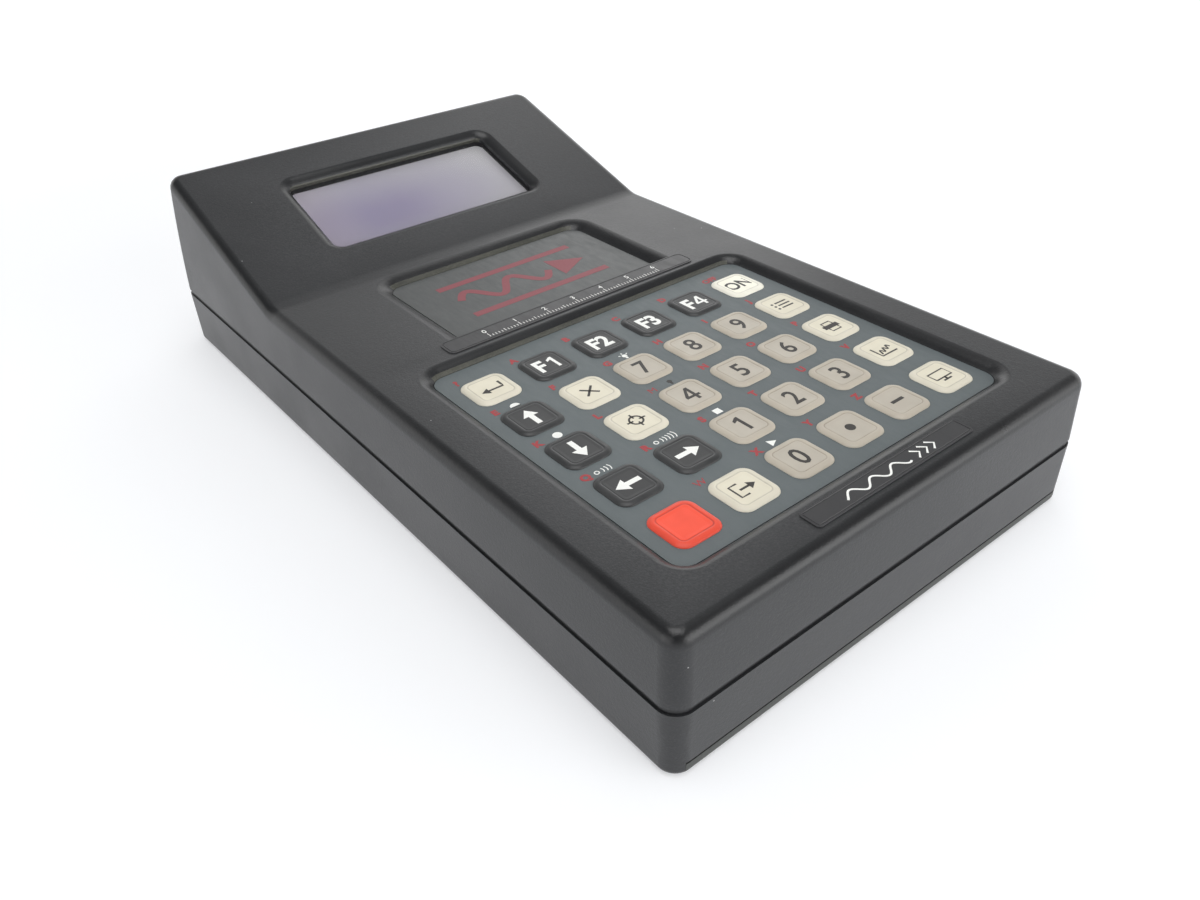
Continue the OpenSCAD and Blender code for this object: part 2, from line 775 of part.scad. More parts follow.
module upper_shell() {
    color([0.30, 0.30, 0.31]) {
        difference() {
            upper_skin();
            upper_cavity();
            translate([0, 0, upper_z - overrun])
                plate(
                    body_w - 2 * groove_depth + 2 * rim_gap, body_l - 2 * groove_depth + 2 * rim_gap,
                    groove_corner_r, rebate_top - upper_z + overrun
                );
            translate([0, -panel_y, deck_h])
                recess(
                    panel_w, panel_l, recess_corner_r, deck_h - circuit_z, panel_depth, panel_shoulder_r
                );
            translate([-ribbon_w / 2 - set_gap, slot_y - tail_slot / 2, deck_ceiling - overrun])
                cube([ribbon_w + 2 * set_gap, tail_slot, circuit_z - deck_ceiling + 2 * overrun]);
            name_recess();
            at_display()
                recess(
                    view_w, view_l, view_corner_r, window_depth + overrun, view_shoulder_depth,
                    view_shoulder_r
                );
            back_cuts();
        }
        display_posts();
        upper_bosses();
        for (y = [pack_y0 + pack_l / 4, pack_y1 - pack_l / 4])
            translate([-pack_w / 2, y - rib_t / 2, pack_top + seat_gap])
                cube([pack_w, rib_t, deck_ceiling - pack_top]);
    }
}

// The outside of the lower half, without the rim
module lower_outer() {
    edge_x = corner_r - lower_draft - foot_r;
    run_round(body_w, body_l, corner_r) {
        union() {
            polygon([[0, foot_r], [corner_r - lower_draft, foot_r], [corner_r, seam_z], [0, seam_z]]);
            square([edge_x, foot_r]);
            intersection() {
                translate([edge_x, foot_r])
                    circle(foot_r);
                translate([edge_x, 0])
                    square(foot_r);
            }
        }
    }
    core(body_w, body_l, corner_r, 0, seam_z);
}

// A pocket of the lower half between two lengths and two widths, kept inside the rim
module lower_pocket(x0, x1, y0, y1, z) {
    translate([0, 0, z])
        linear_extrude(head_h)
            intersection() {
                rounded(body_w - 2 * lower_inset, body_l - 2 * lower_inset, groove_corner_r - tongue_t);
                translate([x0, y0])
                    square([x1 - x0, y1 - y0]);
            }
}

// The room that the battery door takes in the lower half
module door_room() {
    end_y = door_y1 + seat_gap;
    half_w = door_w / 2 + door_gap;
    groove_w = half_w + runner_w;
    translate([-half_w, -body_l / 2 - overrun, -overrun])
        cube([2 * half_w, door_l + seat_gap + overrun, pack_z + overrun]);
    translate([-groove_w, -body_l / 2 - overrun, ledge_h])
        cube([2 * groove_w, end_y + body_l / 2 + overrun, runner_h + 2 * door_gap]);
    translate([-door_front_w / 2 - door_gap, -body_l / 2 - overrun, -overrun])
        cube([door_front_w + 2 * door_gap, door_front_l + seat_gap + overrun, notch_top + overrun]);
}

module lower_shell() {
    half = body_w / 2;
    wall_x = bay_w / 2 + rib_t;
    cover_y = door_y1 + rib_t;
    color([0.29, 0.29, 0.30])
        difference() {
            union() {
                difference() {
                    union() {
                        lower_outer();
                        translate([0, 0, seam_z - overrun])
                            plate(
                                body_w - 2 * groove_depth, body_l - 2 * groove_depth,
                                groove_corner_r, tongue_h + overrun
                            );
                    }
                    lower_pocket(-half, half, cover_y, body_l, wall);
                    lower_pocket(-half, half, bay_y1 + rib_t, cover_y + overrun, groove_floor);
                    lower_pocket(-bay_w / 2, bay_w / 2, -body_l, bay_y1, front_floor_z);
                    lower_pocket(-bay_w / 2, bay_w / 2, pack_y0 - bay_gap, bay_y1, -overrun);
                    lower_pocket(-half, -wall_x, -body_l, bay_y1 + rib_t + overrun, groove_floor);
                    lower_pocket(wall_x, half, -body_l, bay_y1 + rib_t + overrun, groove_floor);
                    door_room();
                }
                for (p = boss_spots)
                    translate([p[0], p[1], p[2] > 0 ? notch_top : wall - overrun])
                        cylinder(h = tongue_top - (p[2] > 0 ? notch_top : wall - overrun), r = boss_r);
                at_board_screws()
                    translate([0, 0, wall - overrun])
                        cylinder(h = board_z - wall + overrun, r = post_r);
            }
            for (p = boss_spots)
                translate([p[0], p[1], -overrun]) {
                    cylinder(h = p[2] + screw_sink + overrun, r = screw_head_r + screw_gap);
                    cylinder(h = tongue_top + 2 * overrun, r = screw_r + screw_gap);
                }
            at_board_screws()
                translate([0, 0, board_top - small_l - screw_gap])
                    cylinder(h = small_l + screw_gap, r = small_r);
        }
}

module case_seal() {
    inset = groove_depth + (tongue_t - seal_w) / 2;
    r = groove_corner_r - (inset - groove_depth);
    color([0.10, 0.10, 0.10])
        difference() {
            translate([0, 0, tongue_top])
                plate(body_w - 2 * inset, body_l - 2 * inset, r, seal_h);
            translate([0, 0, tongue_top - overrun])
                plate(
                    body_w - 2 * inset - 2 * seal_w, body_l - 2 * inset - 2 * seal_w, r - seal_w,
                    seal_h + 2 * overrun
                );
        }
}

module display_window() {
    color([0.62, 0.60, 0.68])
        at_display()
            translate([0, 0, -window_back])
                plate(window_w, window_l, view_corner_r, window_t);
}

module window_gasket() {
    color([0.08, 0.08, 0.08])
        at_display()
            difference() {
                translate([0, 0, -gasket_back])
                    plate(window_w, window_l, view_corner_r, gasket_t);
                translate([0, 0, -gasket_back - overrun])
                    plate(
                        window_w - 2 * gasket_w, window_l - 2 * gasket_w, view_corner_r / 2,
                        gasket_t + 2 * overrun
                    );
            }
}

module display_bezel() {
    color([0.55, 0.56, 0.58])
        at_display()
            difference() {
                translate([-bezel_w / 2, -bezel_l / 2, -bezel_back])
                    cube([bezel_w, bezel_l, bezel_h]);
                translate([-glass_w / 2 - set_gap, -glass_l / 2 - set_gap, -bezel_back - overrun])
                    cube([glass_w + 2 * set_gap, glass_l + 2 * set_gap, bezel_h - bezel_sheet + overrun]);
                translate([-glass_w / 2 + bezel_lap, -glass_l / 2 + bezel_lap, -bezel_back - overrun])
                    cube([glass_w - 2 * bezel_lap, glass_l - 2 * bezel_lap, bezel_h + 2 * overrun]);
            }
}

module display_glass() {
    color([0.60, 0.58, 0.66])
        at_display()
            translate([-glass_w / 2, -glass_l / 2, -gasket_back - bezel_sheet - glass_t])
                cube([glass_w, glass_l, glass_t]);
}

module display_board() {
    color([0.10, 0.32, 0.20])
        difference() {
            at_display() {
                translate([0, 0, -display_board_back])
                    plate(display_board_w, display_board_l, board_corner_r, board_t);
                translate([-ribbon_w / 2 - header_side, -header_l / 2, -display_board_back - header_h])
                    cube([ribbon_w + 2 * header_side, header_l, header_h]);
            }
            at_display_screws()
                translate([0, 0, -display_board_back - overrun])
                    cylinder(h = board_t + 2 * overrun, r = small_r + screw_gap);
        }
}

// A flat strip along a path in the YZ plane
function strip_side(path, shift) = [for (i = [0 : len(path) - 1])
    let (a = path[max(i - 1, 0)])
    let (b = path[min(i + 1, len(path) - 1)])
    let (d = b - a)
    path[i] + [-d[1], d[0]] * shift / norm(d)];

module strip(path, t, w) {
    back = strip_side(path, -t / 2);
    rotate([90, 0, 90])
        translate([0, 0, -w / 2])
            linear_extrude(w)
                polygon(concat(strip_side(path, t / 2), [for (i = [len(path) - 1 : -1 : 0]) back[i]]));
}

ribbon_top_y = break_y + view_s * cos(slope) + (display_board_back + header_h) * sin(slope);
ribbon_top_z = deck_h + view_s * sin(slope) - (display_board_back + header_h) * cos(slope);

module display_ribbon() {
    z0 = board_top + header_h + ribbon_t;
    z1 = ribbon_top_z - ribbon_t;
    color([0.80, 0.80, 0.82])
        strip(
            [for (i = [0 : ribbon_steps]) let (s = i / ribbon_steps)
                [ribbon_top_y + ribbon_bulge * sin(180 * s), z0 + (z1 - z0) * s]],
            ribbon_t, ribbon_w
        );
}

module keypad_overlay() {
    color([0.45, 0.48, 0.48])
        difference() {
            translate([0, -panel_y, overlay_z])
                plate(panel_w - 2 * set_gap, panel_l - 2 * set_gap, recess_corner_r - set_gap, overlay_t);
            key_windows(key_gap, overlay_z);
        }
}

// The windows for all keys, wider than the keys by a gap
module key_windows(gap, z) {
    w = key_w + 2 * gap;
    for (c = [0 : key_columns - 1], r = [0 : key_rows - 1])
        translate([key_x(c), key_y(r), z - overrun])
            plate(w, w, key_corner_r + gap, spacer_t + 2 * overrun);
}

module keypad_spacer() {
    color([0.75, 0.75, 0.72])
        difference() {
            translate([0, -panel_y, spacer_z])
                plate(panel_w - 2 * set_gap, panel_l - 2 * set_gap, recess_corner_r - set_gap, spacer_t);
            key_windows(key_flange + set_gap, spacer_z);
        }
}

module keypad_circuit() {
    color([0.12, 0.34, 0.22]) {
        translate([0, -panel_y, circuit_z])
            plate(panel_w - 2 * set_gap, panel_l - 2 * set_gap, recess_corner_r - set_gap, circuit_t);
        for (c = [0 : key_columns - 1], r = [0 : key_rows - 1])
            translate([key_x(c), key_y(r), spacer_z])
                cylinder(h = contact_t, r = contact_r);
    }
}

module keypad_tail() {
    z0 = circuit_z - ribbon_t;
    z1 = board_top + header_h + ribbon_t;
    straight = (circuit_z - deck_ceiling + ribbon_t) / (z0 - z1);
    color([0.80, 0.80, 0.82])
        strip(
            [for (i = [0 : 2 * ribbon_steps]) let (s = i / ribbon_steps / 2)
                let (k = max(0, (s - straight) / (1 - straight)))
                [slot_y + (header_y - slot_y) * (1 - cos(180 * k)) / 2, z0 + (z1 - z0) * s]],
            ribbon_t, ribbon_w
        );
}

// The section of a key's edge: an outer wall, a rounded rim, and the dish inside it
module key_section() {
    h = key_top - flange_z;
    dish_x = key_corner_r - key_rim;
    square([dish_x, h - key_dish]);
    translate([dish_x, 0])
        square([key_rim, h - key_edge_r]);
    translate([dish_x, 0])
        square([key_rim - key_edge_r, h]);
    intersection() {
        translate([key_corner_r - key_edge_r, h - key_edge_r])
            circle(key_edge_r);
        translate([key_corner_r - key_edge_r, h - key_edge_r])
            square(key_edge_r);
    }
}

module key_cap(column, row, shade) {
    foot_w = key_w + 2 * key_flange;
    color(shade)
        translate([key_x(column), key_y(row), flange_z]) {
            run_round(key_w, key_w, key_corner_r)
                key_section();
            core(key_w, key_w, key_corner_r, 0, key_top - flange_z - key_dish);
            plate(foot_w, foot_w, key_corner_r + key_flange, key_flange_t);
            translate([0, 0, key_foot_z - flange_z])
                cylinder(h = flange_z - key_foot_z, r = contact_r);
        }
}

module name_panel() {
    l = name_back_y - name_front_y + 2 * recess_corner_r;
    gap = set_gap;
    color([0.39, 0.40, 0.40])
        translate([0, 0, name_seat_z])
            linear_extrude(name_t)
                difference() {
                    translate([0, name_back_y - l / 2])
                        rounded(name_w - 2 * gap, l - 2 * gap, recess_corner_r - gap);
                    translate([-body_w / 2, name_front_y + gap - body_l])
                        square([body_w, body_l]);
                }
}

module upper_strip() {
    color([0.31, 0.31, 0.32])
        translate([0, name_front_y - strip_gap - strip_l / 2, deck_h])
            plate(strip_w, strip_l, (strip_l - strip_end) / 2, strip_t);
}

module front_strip() {
    color([0.28, 0.28, 0.29])
        translate([0, -body_l / 2 + front_strip_back + front_strip_l / 2, deck_h])
            plate(front_strip_w, front_strip_l, front_strip_r, strip_t);
}

module main_board() {
    color([0.10, 0.34, 0.20])
        difference() {
            union() {
                translate([0, board_y, board_z])
                    plate(board_w, board_l, board_corner_r, board_t);
                for (y = [header_y, ribbon_top_y])
                    translate([-ribbon_w / 2 - header_side, y - header_l / 2, board_top])
                        cube([ribbon_w + 2 * header_side, header_l, header_h]);
            }
            at_board_screws()
                translate([0, 0, board_z - overrun])
                    cylinder(h = board_t + 2 * overrun, r = small_r + screw_gap);
        }
}

module shield_can() {
    y0 = board_y1 - board_l * (1 - can_front_share);
    can_l = board_l * can_share;
    color([0.66, 0.67, 0.68])
        difference() {
            translate([-can_w / 2, y0, board_top])
                cube([can_w, can_l, can_h]);
            translate([-can_w / 2 + can_sheet, y0 + can_sheet, board_top - overrun])
                cube([can_w - 2 * can_sheet, can_l - 2 * can_sheet, can_h - can_sheet + overrun]);
        }
}

module sounder() {
    color([0.12, 0.12, 0.12])
        translate([-sounder_x, board_y1 - board_l * sounder_share, board_top])
            difference() {
                cylinder(h = sounder_h, r = sounder_r);
                translate([0, 0, sounder_h - sounder_hole_r])
                    cylinder(h = sounder_hole_r + overrun, r = sounder_hole_r);
            }
}

// A screw that points up from height 0, with its head below
module screw(head_r, head_h, shaft_r, shaft_l) {
    difference() {
        union() {
            translate([0, 0, -head_h])
                cylinder(h = head_h, r = head_r);
            cylinder(h = shaft_l, r = shaft_r);
        }
        for (a = [0, 90])
            rotate([0, 0, a])
                translate([-head_r * slot_share, -slot_w / 2, -head_h - overrun])
                    cube([2 * head_r * slot_share, slot_w, slot_depth + overrun]);
    }
}

module board_screws() {
    color([0.72, 0.73, 0.74]) {
        at_board_screws()
            translate([0, 0, board_top])
                rotate([180, 0, 0])
                    screw(small_head_r, small_head_h, small_r, small_l);
        at_display_screws()
            translate([0, 0, -display_board_back])
                screw(small_head_r, small_head_h, small_r, small_l);
    }
}

module case_screws() {
    color([0.72, 0.73, 0.74])
        for (p = boss_spots)
            translate([p[0], p[1], p[2] + screw_sink])
                screw(screw_head_r, screw_head_h, screw_r, screw_end - p[2] - screw_sink);
}

module threaded_inserts() {
    color([0.80, 0.65, 0.30])
        for (p = boss_spots)
            translate([p[0], p[1], tongue_top])
                difference() {
                    cylinder(h = insert_h, r = insert_r);
                    translate([0, 0, -overrun])
                        cylinder(h = insert_h + 2 * overrun, r = screw_r + rim_gap);
                }
}

module battery_pack() {
    cell_r = (cell_d - set_gap) / 2;
    color([0.16, 0.30, 0.52])
        translate([0, pack_y1, pack_z + cell_d / 2])
            rotate([90, 0, 0])
                linear_extrude(pack_l) {
                    for (i = [0 : cell_columns - 1])
                        translate([(i - (cell_columns - 1) / 2) * cell_d, 0])
                            circle(cell_r);
                    square([pack_w - cell_d, cell_d * web_share], center = true);
                }
}

module battery_contacts() {
    bulge = bay_gap - contact_sheet - key_gap;
    z = pack_z + cell_d / 2 - contact_h / 2;
    color([0.80, 0.66, 0.32])
        for (x = [-1, 1])
            translate([x * contact_x, 0, 0])
                strip(
                    [for (i = [0 : ribbon_steps]) let (s = i / ribbon_steps)
                        [bay_y1 - contact_sheet / 2 - bulge * (1 - cos(360 * s)) / 2, z + contact_h * s]],
                    contact_sheet, contact_w
                );
}

module battery_door() {
    y0 = -body_l / 2;
    plate_y = y0 + door_front_l;
    color([0.34, 0.35, 0.34])
        difference() {
            union() {
                intersection() {
                    lower_outer();
                    translate([-door_front_w / 2, y0 - overrun, door_lift])
                        cube([door_front_w, door_front_l + overrun, door_front_h]);
                }
                translate([-door_w / 2, plate_y, door_lift])
                    cube([door_w, door_y1 - plate_y, door_t]);
                translate([-door_w / 2 - runner_w, plate_y, ledge_h + door_gap])
                    cube([door_w + 2 * runner_w, door_y1 - plate_y, runner_h]);
            }
            for (i = [0 : grip_ribs - 1])
                translate([-grip_w / 2, plate_y + (i + 2) * grip_pitch, door_lift - overrun])
                    cube([grip_w, grip_pitch / 2, grip_depth + overrun]);
        }
}

// A round push-pull socket with the given number of contact holes on a ring, or one in the middle
module socket(x, holes) {
    bore_end = socket_ring_h - socket_bore_l;
    color([0.70, 0.71, 0.73])
        at_back(x)
            difference() {
                union() {
                    cylinder(h = socket_ring_h, r = socket_ring_r);
                    translate([0, 0, -socket_back])
                        cylinder(h = socket_back, r = socket_r);
                    translate([0, 0, -back_skin - socket_nut_t])
                        cylinder(h = socket_nut_t, r = socket_ring_r);
                }
                translate([0, 0, bore_end])
                    cylinder(h = socket_bore_l + overrun, r = socket_bore_r);
                for (i = [0 : holes - 1])
                    rotate([0, 0, 360 * i / holes])
                        translate([holes > 1 ? pin_ring_r : 0, 0, bore_end - pin_hole_l])
                            cylinder(h = pin_hole_l + overrun, r = pin_hole_r);
            }
}

module upstream_socket() {
    socket(-socket_x, 1);
}

module downstream_socket() {
    socket(-socket_x + socket_pitch, 1);
}

module io_socket() {
    socket(-socket_x + 2 * socket_pitch, pin_count);
}

module serial_port() {
    block_w = serial_flange_w - 2 * post_flats;
    block_top = serial_h / 2 + serial_taper;
    pin_z = serial_out - back_skin - pin_hole_l;
    color([0.70, 0.71, 0.73])
        at_back(serial_x)
            difference() {
                union() {
                    translate([-serial_flange_w / 2, -serial_flange_h / 2, -back_skin - serial_flange_t])
                        cube([serial_flange_w, serial_flange_h, serial_flange_t]);
                    translate([0, 0, -back_skin])
                        linear_extrude(serial_out)
                            serial_outline(0);
                    translate([-block_w / 2, -block_top, -back_skin - serial_flange_t - serial_block_l])
                        cube([block_w, block_top + connector_rise, serial_block_l]);
                    for (x = [-1, 1])
                        translate([x * serial_post_pitch / 2, 0, 0]) {
                            cylinder(h = post_l, r = post_flats / 2 / cos(30), $fn = 6);
                            translate([0, 0, -back_skin])
                                cylinder(h = back_skin, r = post_stem_r);
                        }
                }
                for (x = [-1, 1])
                    translate([x * serial_post_pitch / 2, 0, -back_skin])
                        cylinder(h = back_skin + post_l + overrun, r = post_hole_r);
                for (row = [-1, 1])
                    let (n = (serial_pins - row) / 2)
                    for (i = [0 : n - 1])
                        translate([(i - (n - 1) / 2) * serial_pin_pitch, row * serial_row_pitch / 2, pin_z])
                            cylinder(h = pin_hole_l + overrun, r = pin_hole_r);
            }
}

module power_jack() {
    nose_l = back_skin + jack_nose_l;
    bore_end = jack_nose_l - jack_bore_l;
    color([0.10, 0.10, 0.10])
        at_back(jack_x) {
            difference() {
                union() {
                    translate([-jack_w / 2, -jack_top, -back_skin - jack_l])
                        cube([jack_w, jack_top + connector_rise, jack_l]);
                    translate([0, 0, -back_skin])
                        cylinder(h = nose_l, r = jack_nose_r);
                }
                translate([0, 0, bore_end])
                    cylinder(h = jack_bore_l + overrun, r = jack_bore_r);
            }
            translate([0, 0, bore_end - overrun])
                cylinder(h = jack_bore_l - jack_pin_back + overrun, r = jack_pin_r);
        }
}

cream = [0.90, 0.88, 0.80];
bright = [0.97, 0.96, 0.90];
tan_shade = [0.76, 0.73, 0.66];
dark = [0.33, 0.34, 0.34];
red = [0.96, 0.38, 0.29];

upper_shell();
lower_shell();
case_seal();
display_window();
window_gasket();
display_bezel();
display_glass();
display_board();
display_ribbon();
keypad_overlay();
keypad_spacer();
keypad_circuit();
keypad_tail();
key_cap(0, 0, cream);  // key_enter
key_cap(1, 0, dark);  // key_f1
key_cap(2, 0, dark);  // key_f2
key_cap(3, 0, dark);  // key_f3
key_cap(4, 0, dark);  // key_f4
key_cap(5, 0, bright);  // key_on
key_cap(0, 1, dark);  // key_up
key_cap(1, 1, cream);  // key_clear
key_cap(2, 1, tan_shade);  // key_7
key_cap(3, 1, tan_shade);  // key_8
key_cap(4, 1, tan_shade);  // key_9
key_cap(5, 1, cream);  // key_program
key_cap(0, 2, dark);  // key_down
key_cap(1, 2, cream);  // key_calibrate
key_cap(2, 2, tan_shade);  // key_4
key_cap(3, 2, tan_shade);  // key_5
key_cap(4, 2, tan_shade);  // key_6
key_cap(5, 2, cream);  // key_print
key_cap(0, 3, dark);  // key_left
key_cap(1, 3, dark);  // key_right
key_cap(2, 3, tan_shade);  // key_1
key_cap(3, 3, tan_shade);  // key_2
key_cap(4, 3, tan_shade);  // key_3
key_cap(5, 3, cream);  // key_log
key_cap(0, 4, red);  // key_red
key_cap(1, 4, cream);  // key_exit
key_cap(2, 4, tan_shade);  // key_0
key_cap(3, 4, tan_shade);  // key_dot
key_cap(4, 4, tan_shade);  // key_minus
key_cap(5, 4, cream);  // key_display
name_panel();
upper_strip();
front_strip();
main_board();
shield_can();
board_screws();
sounder();
battery_pack();
battery_contacts();
battery_door();
case_screws();
threaded_inserts();
upstream_socket();
downstream_socket();
io_socket();
serial_port();
power_jack();
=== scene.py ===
"""Dresses the ultrasonic flow meter: case, keypad, display, labels, connectors and the plain stage round them."""
import math
from collections import namedtuple

import bmesh
import bpy
import numpy as np
from mathutils import Matrix, Vector


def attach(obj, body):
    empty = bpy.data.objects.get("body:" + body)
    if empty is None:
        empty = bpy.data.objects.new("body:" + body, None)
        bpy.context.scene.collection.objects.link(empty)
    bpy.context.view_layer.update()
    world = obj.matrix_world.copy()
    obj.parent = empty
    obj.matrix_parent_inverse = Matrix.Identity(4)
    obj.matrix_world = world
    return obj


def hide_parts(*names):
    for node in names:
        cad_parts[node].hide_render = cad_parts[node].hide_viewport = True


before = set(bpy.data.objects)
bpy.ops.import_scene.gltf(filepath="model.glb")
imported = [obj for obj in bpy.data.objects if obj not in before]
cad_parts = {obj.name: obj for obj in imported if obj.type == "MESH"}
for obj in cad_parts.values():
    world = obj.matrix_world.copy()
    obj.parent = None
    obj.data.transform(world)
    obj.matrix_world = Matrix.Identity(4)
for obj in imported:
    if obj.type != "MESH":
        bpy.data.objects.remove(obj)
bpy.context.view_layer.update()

MM = 0.001
TAU = 2 * math.pi

bl_info = {
    "name": "Ultrasonic flow meter",
    "version": (1, 0, 0),
    "blender": (4, 5, 0),
    "location": "3D View > Sidebar > Flow meter",
    "description": "Builds the pieces, finishes and stage of a handheld ultrasonic flow meter",
    "category": "Object",
}


# Values that a user may change

def length(name, text, mm):
    return bpy.props.FloatProperty(
        name=name, description=text, default=mm * MM, min=0.0, precision=5, unit="LENGTH", subtype="DISTANCE")


def power(name, text, watts):
    return bpy.props.FloatProperty(name=name, description=text, default=watts, min=0.0, unit="POWER")


def linear(red, green, blue):
    """Linear values of a colour given in 0 to 255."""
    c = np.array([red, green, blue]) / 255
    return tuple(float(v) for v in np.where(c <= 0.04045, c / 12.92, ((c + 0.055) / 1.055) ** 2.4))


def shade(name, of, red, green, blue):
    return bpy.props.FloatVectorProperty(
        name=name, description="Colour of the " + of, default=linear(red, green, blue), size=3, min=0.0,
        max=1.0, subtype="COLOR")


def group(kind, name):
    return bpy.props.PointerProperty(type=kind, name=name, description="Values of the " + name.lower())


class CaseValues(bpy.types.PropertyGroup):
    """Sizes and colours of the case."""
    width: length("Width", "Width of the case", 138)
    depth: length("Length", "Length of the case", 242)
    deck: length("Deck height", "Height of the flat deck", 37.5)
    head: length("Head height", "Height that the slope would reach at the back", 62.3)
    run: length("Head length", "Length of the sloped head", 73.6406)
    corner: length("Corner radius", "Corner radius seen from above", 5)
    edge: length("Edge rounding", "Rounding of the top edges", 3.2)
    bend: length("Bend radius", "Radius of the bend between deck and head", 16)
    lean: length("Back lean", "How far the back leans in at its top", 6.5)
    bow: length("Back bow", "How far the back bulges out at half its height", 1)
    draft: length("Draft", "Draft of the upper half at each side", 0.3)
    rim: length("Rim height", "Height of the upper half's bottom edge", 19.05)
    bevel: length("Bevel", "Bevel of the bottom edge", 0.4)
    wall: length("Wall", "Wall thickness", 2.5)
    back_wall: length("Back wall", "Thickness of the back wall", 8.4)
    colour: shade("Plastic", "moulded plastic", 38, 39, 41)
    scuff: shade("Scuffed plastic", "plastic where it is rubbed", 88, 89, 91)
    door: shade("Door plastic", "battery door", 66, 68, 65)
    grain: length("Grain", "Size of the moulded texture's grain", 0.42)


class KeyValues(bpy.types.PropertyGroup):
    """Sizes and colours of the keys."""
    pitch: length("Pitch", "Distance from key to key", 17.3)
    width: length("Width", "Width of a key", 12.4)
    corner: length("Corner radius", "Corner radius of a key", 3)
    rim: length("Rim", "Width of the raised rim", 1.75)
    dish: length("Dish", "Depth of the dish inside the rim", 0.25)
    gap: length("Skirt", "How far the skirt reaches into the gap round the key", 0.08)
    cream: shade("Cream", "command keys", 226, 220, 200)
    bright: shade("Bright", "switch key", 250, 248, 232)
    tan: shade("Tan", "number keys", 186, 179, 166)
    black: shade("Black", "function and arrow keys", 45, 46, 47)
    red: shade("Red", "red key", 247, 80, 52)
    panel: shade("Panel", "panel round the keys", 96, 104, 106)


class DisplayValues(bpy.types.PropertyGroup):
    """Sizes and colours of the display."""
    width: length("Width", "Width of the display that can be seen", 74.4)
    height: length("Height", "Height of the display that can be seen", 33.4)
    shoulder: length("Shoulder radius", "Radius of the recess's shoulder", 5)
    depth: length("Depth", "Depth of the window below the slope", 3)
    middle: shade("Middle", "resting display at its middle", 140, 133, 160)
    border: shade("Border", "resting display at its border", 188, 187, 190)
    blush: shade("Blush", "resting display at its left", 158, 134, 156)


class LabelValues(bpy.types.PropertyGroup):
    """Colours of the name panel, the strips and the inks."""
    panel: shade("Name panel", "name panel", 74, 77, 77)
    strip: shade("Strip", "two strips", 50, 50, 52)
    white: shade("White ink", "white marks", 246, 247, 243)
    red: shade("Red ink", "red marks", 164, 50, 56)
    dull: shade("Dull ink", "mark on the name panel", 136, 66, 74)
    dark: shade("Black ink", "marks on pale keys", 48, 45, 42)


class StageValues(bpy.types.PropertyGroup):
    """The floor, the lamps and the camera."""
    floor: shade("Floor", "floor", 203, 205, 207)
    top_light: power("Top lamp", "Power of the lamp above the meter", 8.8)
    side_light: power("Side lamp", "Power of the lamp at the left", 4.0)
    card_light: power("Back card", "Power of the bright card at the back right", 0.16)
    sky: bpy.props.FloatProperty(
        name="Sky", description="Strength of the soft light all round", default=0.62, min=0.0, max=1.0,
        subtype="FACTOR")
    lens: bpy.props.FloatProperty(
        name="Lens", description="Focal length of the camera in millimetres", default=30.785, min=1.0)


class MeterValues(bpy.types.PropertyGroup):
    """All values of the flow meter."""
    case: group(CaseValues, "Case")
    keys: group(KeyValues, "Keys")
    display: group(DisplayValues, "Display")
    labels: group(LabelValues, "Labels")
    stage: group(StageValues, "Stage")


def values():
    """The meter's values in the open scene."""
    return bpy.context.scene.flow_meter


# Surfaces

SHARP = 34.0        # degrees between faces past which an edge stays sharp
WELD = 2e-7         # points closer than this are one
CORNER_STEPS = 10
EDGE_STEPS = 6
BEND_STEPS = 10
BOW_STEPS = 7
FRAME_STEPS = 3
SHOULDER_STEPS = 10
SHOULDER_RISE = 0.05 * MM    # how far above the surface a shoulder's arc would start


class Shell:
    """A surface gathered from loops of points: bridges between loops are quads, and a cap closes a loop."""

    def __init__(self):
        self.points, self.faces, self.wear, self.inks, self.count = [], [], [], [], 0

    def loop(self, points, wear=0.0):
        """Adds points and gives their numbers."""
        points = np.asarray(points, float).reshape(-1, 3)
        self.points.append(points)
        self.wear.append(np.full(len(points), float(wear)))
        self.count += len(points)
        return np.arange(self.count - len(points), self.count)

    def bridge(self, a, b, closed=True, ink=0):
        """Quads from each point of loop a and its successor to the same two of loop b."""
        if closed:
            a, b = np.append(a, a[0]), np.append(b, b[0])
        quads = np.stack([a[:-1], a[1:], b[1:], b[:-1]], axis=1)
        self.faces += quads.tolist()
        self.inks += [ink] * len(quads)

    def cap(self, a, ink=0):
        self.faces.append(list(map(int, a)))
        self.inks.append(ink)

    def loft(self, loops, first=False, last=False, wear=None, ink=0, grit=None):
        """Joins loops of equal counts in turn, with a cap on the first and the last where asked.

        Grit gives the first row, the last row and the half width of the far side's gritty strip, which takes the second
        finish: grit with painted light, a lighter tone than the recess's other walls.
        """
        wear = np.zeros(len(loops)) if wear is None else wear
        rows = [self.loop(p, w) for p, w in zip(loops, wear)]
        for j, (a, b) in enumerate(zip(rows[:-1], rows[1:])):
            self.bridge(a, b, ink=ink)
            # The far side's strip gets the second finish: grit with painted light
            if grit and grit[0] <= j < grit[1]:
                far = len(self.inks) - len(a) + CORNER_STEPS
                self.inks[far - grit[2]: far + grit[2] + 1] = [1] * (2 * grit[2] + 1)
        if first:
            self.cap(rows[0][::-1], ink)
        if last:
            self.cap(rows[-1], ink)
        return rows

    def closed(self, loops, **more):
        """A loft with a cap on both ends."""
        self.loft(loops, first=True, last=True, **more)

    def mesh(self, name):
        """The gathered surface as a mesh with its inks and a point attribute of wear and painted shade."""
        mesh = bpy.data.meshes.new(name)
        mesh.from_pydata(np.concatenate(self.points).tolist(), [], self.faces)
        mesh.polygons.foreach_set("material_index", self.inks)
        mesh.attributes.new("wear", "FLOAT", "POINT").data.foreach_set("value", np.concatenate(self.wear))
        return mesh


def linked(name, data):
    """A new object in the scene."""
    made = bpy.data.objects.new(name, data)
    bpy.context.scene.collection.objects.link(made)
    return made


